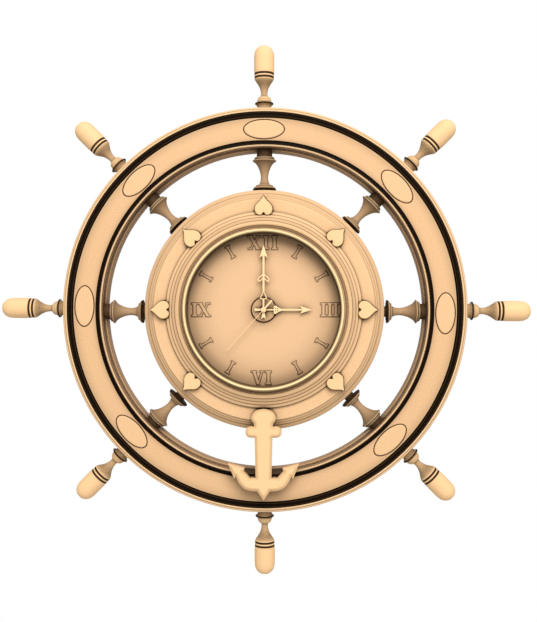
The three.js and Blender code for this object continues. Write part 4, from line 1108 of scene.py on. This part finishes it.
def anchor_outline():
    """The anchor, from its head on the hub's flat to its crown on the rim's face."""
    head = [(0, 0), (6.8, -1.2), (11.4, -4.6), (13.4, -9.3), (12.7, -12.9), (10.6, -15.8)]
    stock = [
        (10.3, -19.2), (14.6, -19.2), (18.4, -20.9), (19.9, -25.3), (18.4, -29.6), (14.4, -31.4),
        (9.7, -31.4),
    ]
    arm = [(8.7, 0), (15, -0.2), (21.8, 7.2), (20.9, 11), (39.1, 16), (32.2, -0.8), (30.4, 1.8)]
    under = [(30.4, 1.8), (28.2, -3.4), (24.6, -8.6), (20, -12.2), (14, -13.9), (7, -14.4)]
    top, crown = 0.8 - HUB_FLAT_INNER, 4.5 - FACE_INNER
    return mirrored([
        *smooth_path(moved(head, 0, top)), (10.3, top - 17.0),
        *smooth_path(moved(stock, 0, top)), *moved(arm, 0, crown),
        *smooth_path(moved(under, 0, crown))[1:], (0, crown - 24.4),
    ])


def build_anchor():
    outline = anchor_outline()
    # The bevels carry a little painted shade
    piece = relief(
        "anchor_ornament", [outline], HUB_FACE + 0.3, ANCHOR_TOP,
        bevel=3.3, drop=2.2, spacing=1.0, edge_shade=0.16,
    )
    # The foot stands back from the outline and is darkened with painted shade where it shows
    # between the arms
    on_rim = shrunk(beyond(outline, 1, -RIM_INNER, -1), ANCHOR_FOOT_INSET)
    foot = relief(
        "anchor_foot", [on_rim], RIM_FACE + 0.6, HUB_FACE + 0.4,
        bevel=0.1, drop=0.05, spacing=1.5, shade=0.8,
    )
    for part in (piece, foot):
        coat(part, ORNAMENT_WOOD)
    dress(piece, "ornament_wood", "anchor")
    dress(foot, "ornament_wood")


# Hands


# The depths of the hands' backs, their thickness and where the second hand points
HOUR_HAND_BACK = 53.8
MINUTE_HAND_BACK = 56.0
SECOND_HAND_BACK = 58.2
HAND_THICKNESS = 0.8
SECOND_HAND_ANGLE = 221.9

HOUR_SHAFT = 2.0
MINUTE_SHAFT = 2.2
HAND_EYE = 2.95


def build_hand(kind, shapes, holes, back, degrees, bore):
    """A hand of sheet metal with rounded edges, drawn pointing up and turned clockwise."""
    holes = [*holes, circle(0, 0, bore, BORE_SIDES)]
    piece = relief(
        f"{kind}_pointer", shapes, back, back + HAND_THICKNESS, bevel=0.3, drop=0.25, spacing=0.5,
        holes=holes,
    )
    turn_about_axis(piece, degrees)
    coat(piece, HAND_PAINT)
    dress(piece, "hand_paint", f"{kind}_hand", body=f"{kind}_body")


def strip(bottom, top, width, end_width=None):
    """A straight bar on the hand's line, which may end wider or narrower than it starts."""
    end = width if end_width is None else end_width
    return [(-width / 2, bottom), (width / 2, bottom), (end / 2, top), (-end / 2, top)]


def arrow(tip, length, width, barb, shaft):
    """A hand's arrow head, whose barbs reach back past its base."""
    base = tip - length
    return mirrored([(0, tip), (width / 2, base - barb), (shaft / 2, base + 1.2), (0, base + 1.2)])


def build_minute_hand():
    leaf = mirrored(smooth_path([
        (0, 41.4), (1.5, 38.8), (3.9, 36.8), (5.9, 34.6), (6.5, 32.4), (5.6, 30.9), (4, 30.9),
        (2.2, 32.2), (0.9, 33.6),
    ]))
    kite = mirrored([(0, 21.6), (3.9, 12.9), (3.4, 11.9), (0, 11.2)])
    shapes = [
        circle(0, 0, HAND_EYE), strip(0, 11.8, 1.9), kite, strip(20, 34, MINUTE_SHAFT), leaf,
        strip(33.4, 60, MINUTE_SHAFT), arrow(71.3, 13, 8.9, 1.1, MINUTE_SHAFT),
        mirrored([(0, 0), (0.9, -0.2), (2.45, -10.2), (0, -8.2)]),
    ]
    opening = shrunk(leaf, 1.15)
    side = MINUTE_SHAFT / 2
    holes = [shrunk(kite, 1.0), beyond(opening, 0, side, 1), beyond(opening, 0, -side, -1)]
    build_hand("minute", shapes, holes, MINUTE_HAND_BACK, 0, 1.2)


def build_hour_hand():
    block = mirrored(smooth_path([
        (0, 21.2), (0.95, 20.4), (1.7, 18), (3.2, 15.2), (4.5, 13.2), (4.3, 11.5), (2.2, 11),
        (0, 11.4),
    ]))
    shapes = [
        circle(0, 0, HAND_EYE), strip(0, 12.4, 1.5), block, strip(20, 42, HOUR_SHAFT),
        arrow(53, 12, 8.5, 0.9, HOUR_SHAFT), strip(0, -10.2, 1.5, 3.4),
    ]
    middles = ((-1.4, 13.1), (1.4, 13.1), (-1.1, 15.4), (1.1, 15.4))
    eyes = [circle(x, z, 0.55, EYE_SIDES) for x, z in middles]
    build_hand("hour", shapes, eyes, HOUR_HAND_BACK, 90, 1.9)


def build_second_hand():
    shapes = [circle(0, 0, 2.9), strip(0, 59.5, 0.7, 0.45), strip(0, -13.8, 1.6, 2.2)]
    build_hand("second", shapes, [], SECOND_HAND_BACK, SECOND_HAND_ANGLE, 0.55)
    base = SECOND_HAND_BACK + HAND_THICKNESS / 2
    cap = turned_ring("second_cap", [
        (0.5, base, 0.1), (2.1, base, 0.1), (2.1, base + 0.7, 0.3), (1.4, base + 1.1, 0.4),
        (0.5, base + 1.1, 0.1),
    ], SMALL_SIDES)
    coat(cap, HAND_PAINT)
    dress(cap, "hand_paint", body="second_body")


# Movement


MOVEMENT = (
    (CASE_PLASTIC, ("movement_case", "movement_cover")),
    (GEAR_PLASTIC, (
        "middle_plate", "hour_wheel", "minute_tube", "centre_wheel", "second_wheel", "third_wheel",
        "intermediate_wheel", "reverse_wheel", "setting_knob",
    )),
    (MAGNET_STEEL, ("rotor", "stator")),
    (WIRE, ("coil",)),
    (BOARD, ("circuit_board",)),
    (BATTERY_WRAP, ("battery",)),
    (CONTACT_STEEL, ("contact_minus", "contact_plus", "hanger_plate")),
)


def build_movement():
    """Gives the CAD's own nodes of the movement their finishes."""
    for finish, names in MOVEMENT:
        for name in names:
            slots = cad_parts[name].data.materials
            slots.clear()
            slots.append(finish)


# Floor, light and camera


# These are in metres and watts: the floor's middle and half sizes, and the lamp's place and power
FLOOR_CENTRE = (0, -0.2, -0.72)
FLOOR_REACH = (1.3, 0.75)
FLOOR_SIDES = 96
KEY_PLACE = (0.3, -2.1, 1.5)
KEY_SIZE = 1.8
KEY_POWER = 113


def build_stage():
    x, y, z = FLOOR_CENTRE
    points = circle(0, 0, 1, FLOOR_SIDES)
    verts = [(x + FLOOR_REACH[0] * a, y + FLOOR_REACH[1] * b, z) for a, b in points]
    floor = new_object("floor", verts, [tuple(range(len(verts)))])
    floor.data.materials.append(floor_finish())


def aimed(made, place, target):
    """Puts a lamp or camera in the scene, looking from its place at a target."""
    made.location = place
    made.rotation_mode = "QUATERNION"
    made.rotation_quaternion = (Vector(target) - Vector(place)).to_track_quat("-Z", "Y")
    bpy.context.scene.collection.objects.link(made)


def build_light():
    """An even white surround, and one large lamp above and in front."""
    world = bpy.data.worlds.new("studio")
    world.use_nodes = True
    inputs = world.node_tree.nodes["Background"].inputs
    inputs["Color"].default_value = (1, 1, 1, 1)
    inputs["Strength"].default_value = 1.0
    bpy.context.scene.world = world
    lamp = bpy.data.lights.new("key", "AREA")
    lamp.shape = "DISK"
    lamp.size = KEY_SIZE
    lamp.energy = KEY_POWER
    aimed(bpy.data.objects.new("key", lamp), KEY_PLACE, (0, 0, 0))
    bpy.context.scene.view_settings.view_transform = "Standard"


# The photograph is 537 by 622 pixels, and the wheel's centre stands at the pixel named here.
IMAGE_WIDTH = 537
IMAGE_HEIGHT = 622
CENTRE_PIXEL = (264.5, 309.8)
LENS = 50.0
SENSOR = 36.0
CAMERA_DISTANCE = 982.0
CAMERA_AZIMUTH = 1.8
CLIP_START, CLIP_END = 0.05, 20


def build_camera():
    data = bpy.data.cameras.new("camera")
    data.lens = LENS
    data.sensor_width = SENSOR
    data.clip_start = CLIP_START
    data.clip_end = CLIP_END
    azimuth = math.radians(CAMERA_AZIMUTH)
    centre = Vector((0, -SPOKE_DEPTH * MM, 0))
    away = Vector((math.sin(azimuth), -math.cos(azimuth), 0)) * CAMERA_DISTANCE * MM
    per_pixel = SENSOR / LENS / IMAGE_HEIGHT * CAMERA_DISTANCE * MM
    right = Vector((math.cos(azimuth), math.sin(azimuth), 0))
    target = centre + right * (IMAGE_WIDTH / 2 - CENTRE_PIXEL[0]) * per_pixel
    target += Vector((0, 0, 1)) * (CENTRE_PIXEL[1] - IMAGE_HEIGHT / 2) * per_pixel
    camera = bpy.data.objects.new("camera", data)
    aimed(camera, centre + away, target)
    bpy.context.scene.camera = camera


build_camera()
build_light()
build_stage()
build_rim()
build_handles()
build_spindles()
build_hub()
build_bezel()
build_dial()
build_nut()
build_ovals()
build_hearts()
build_anchor()
build_minute_hand()
build_hour_hand()
build_second_hand()
build_movement()
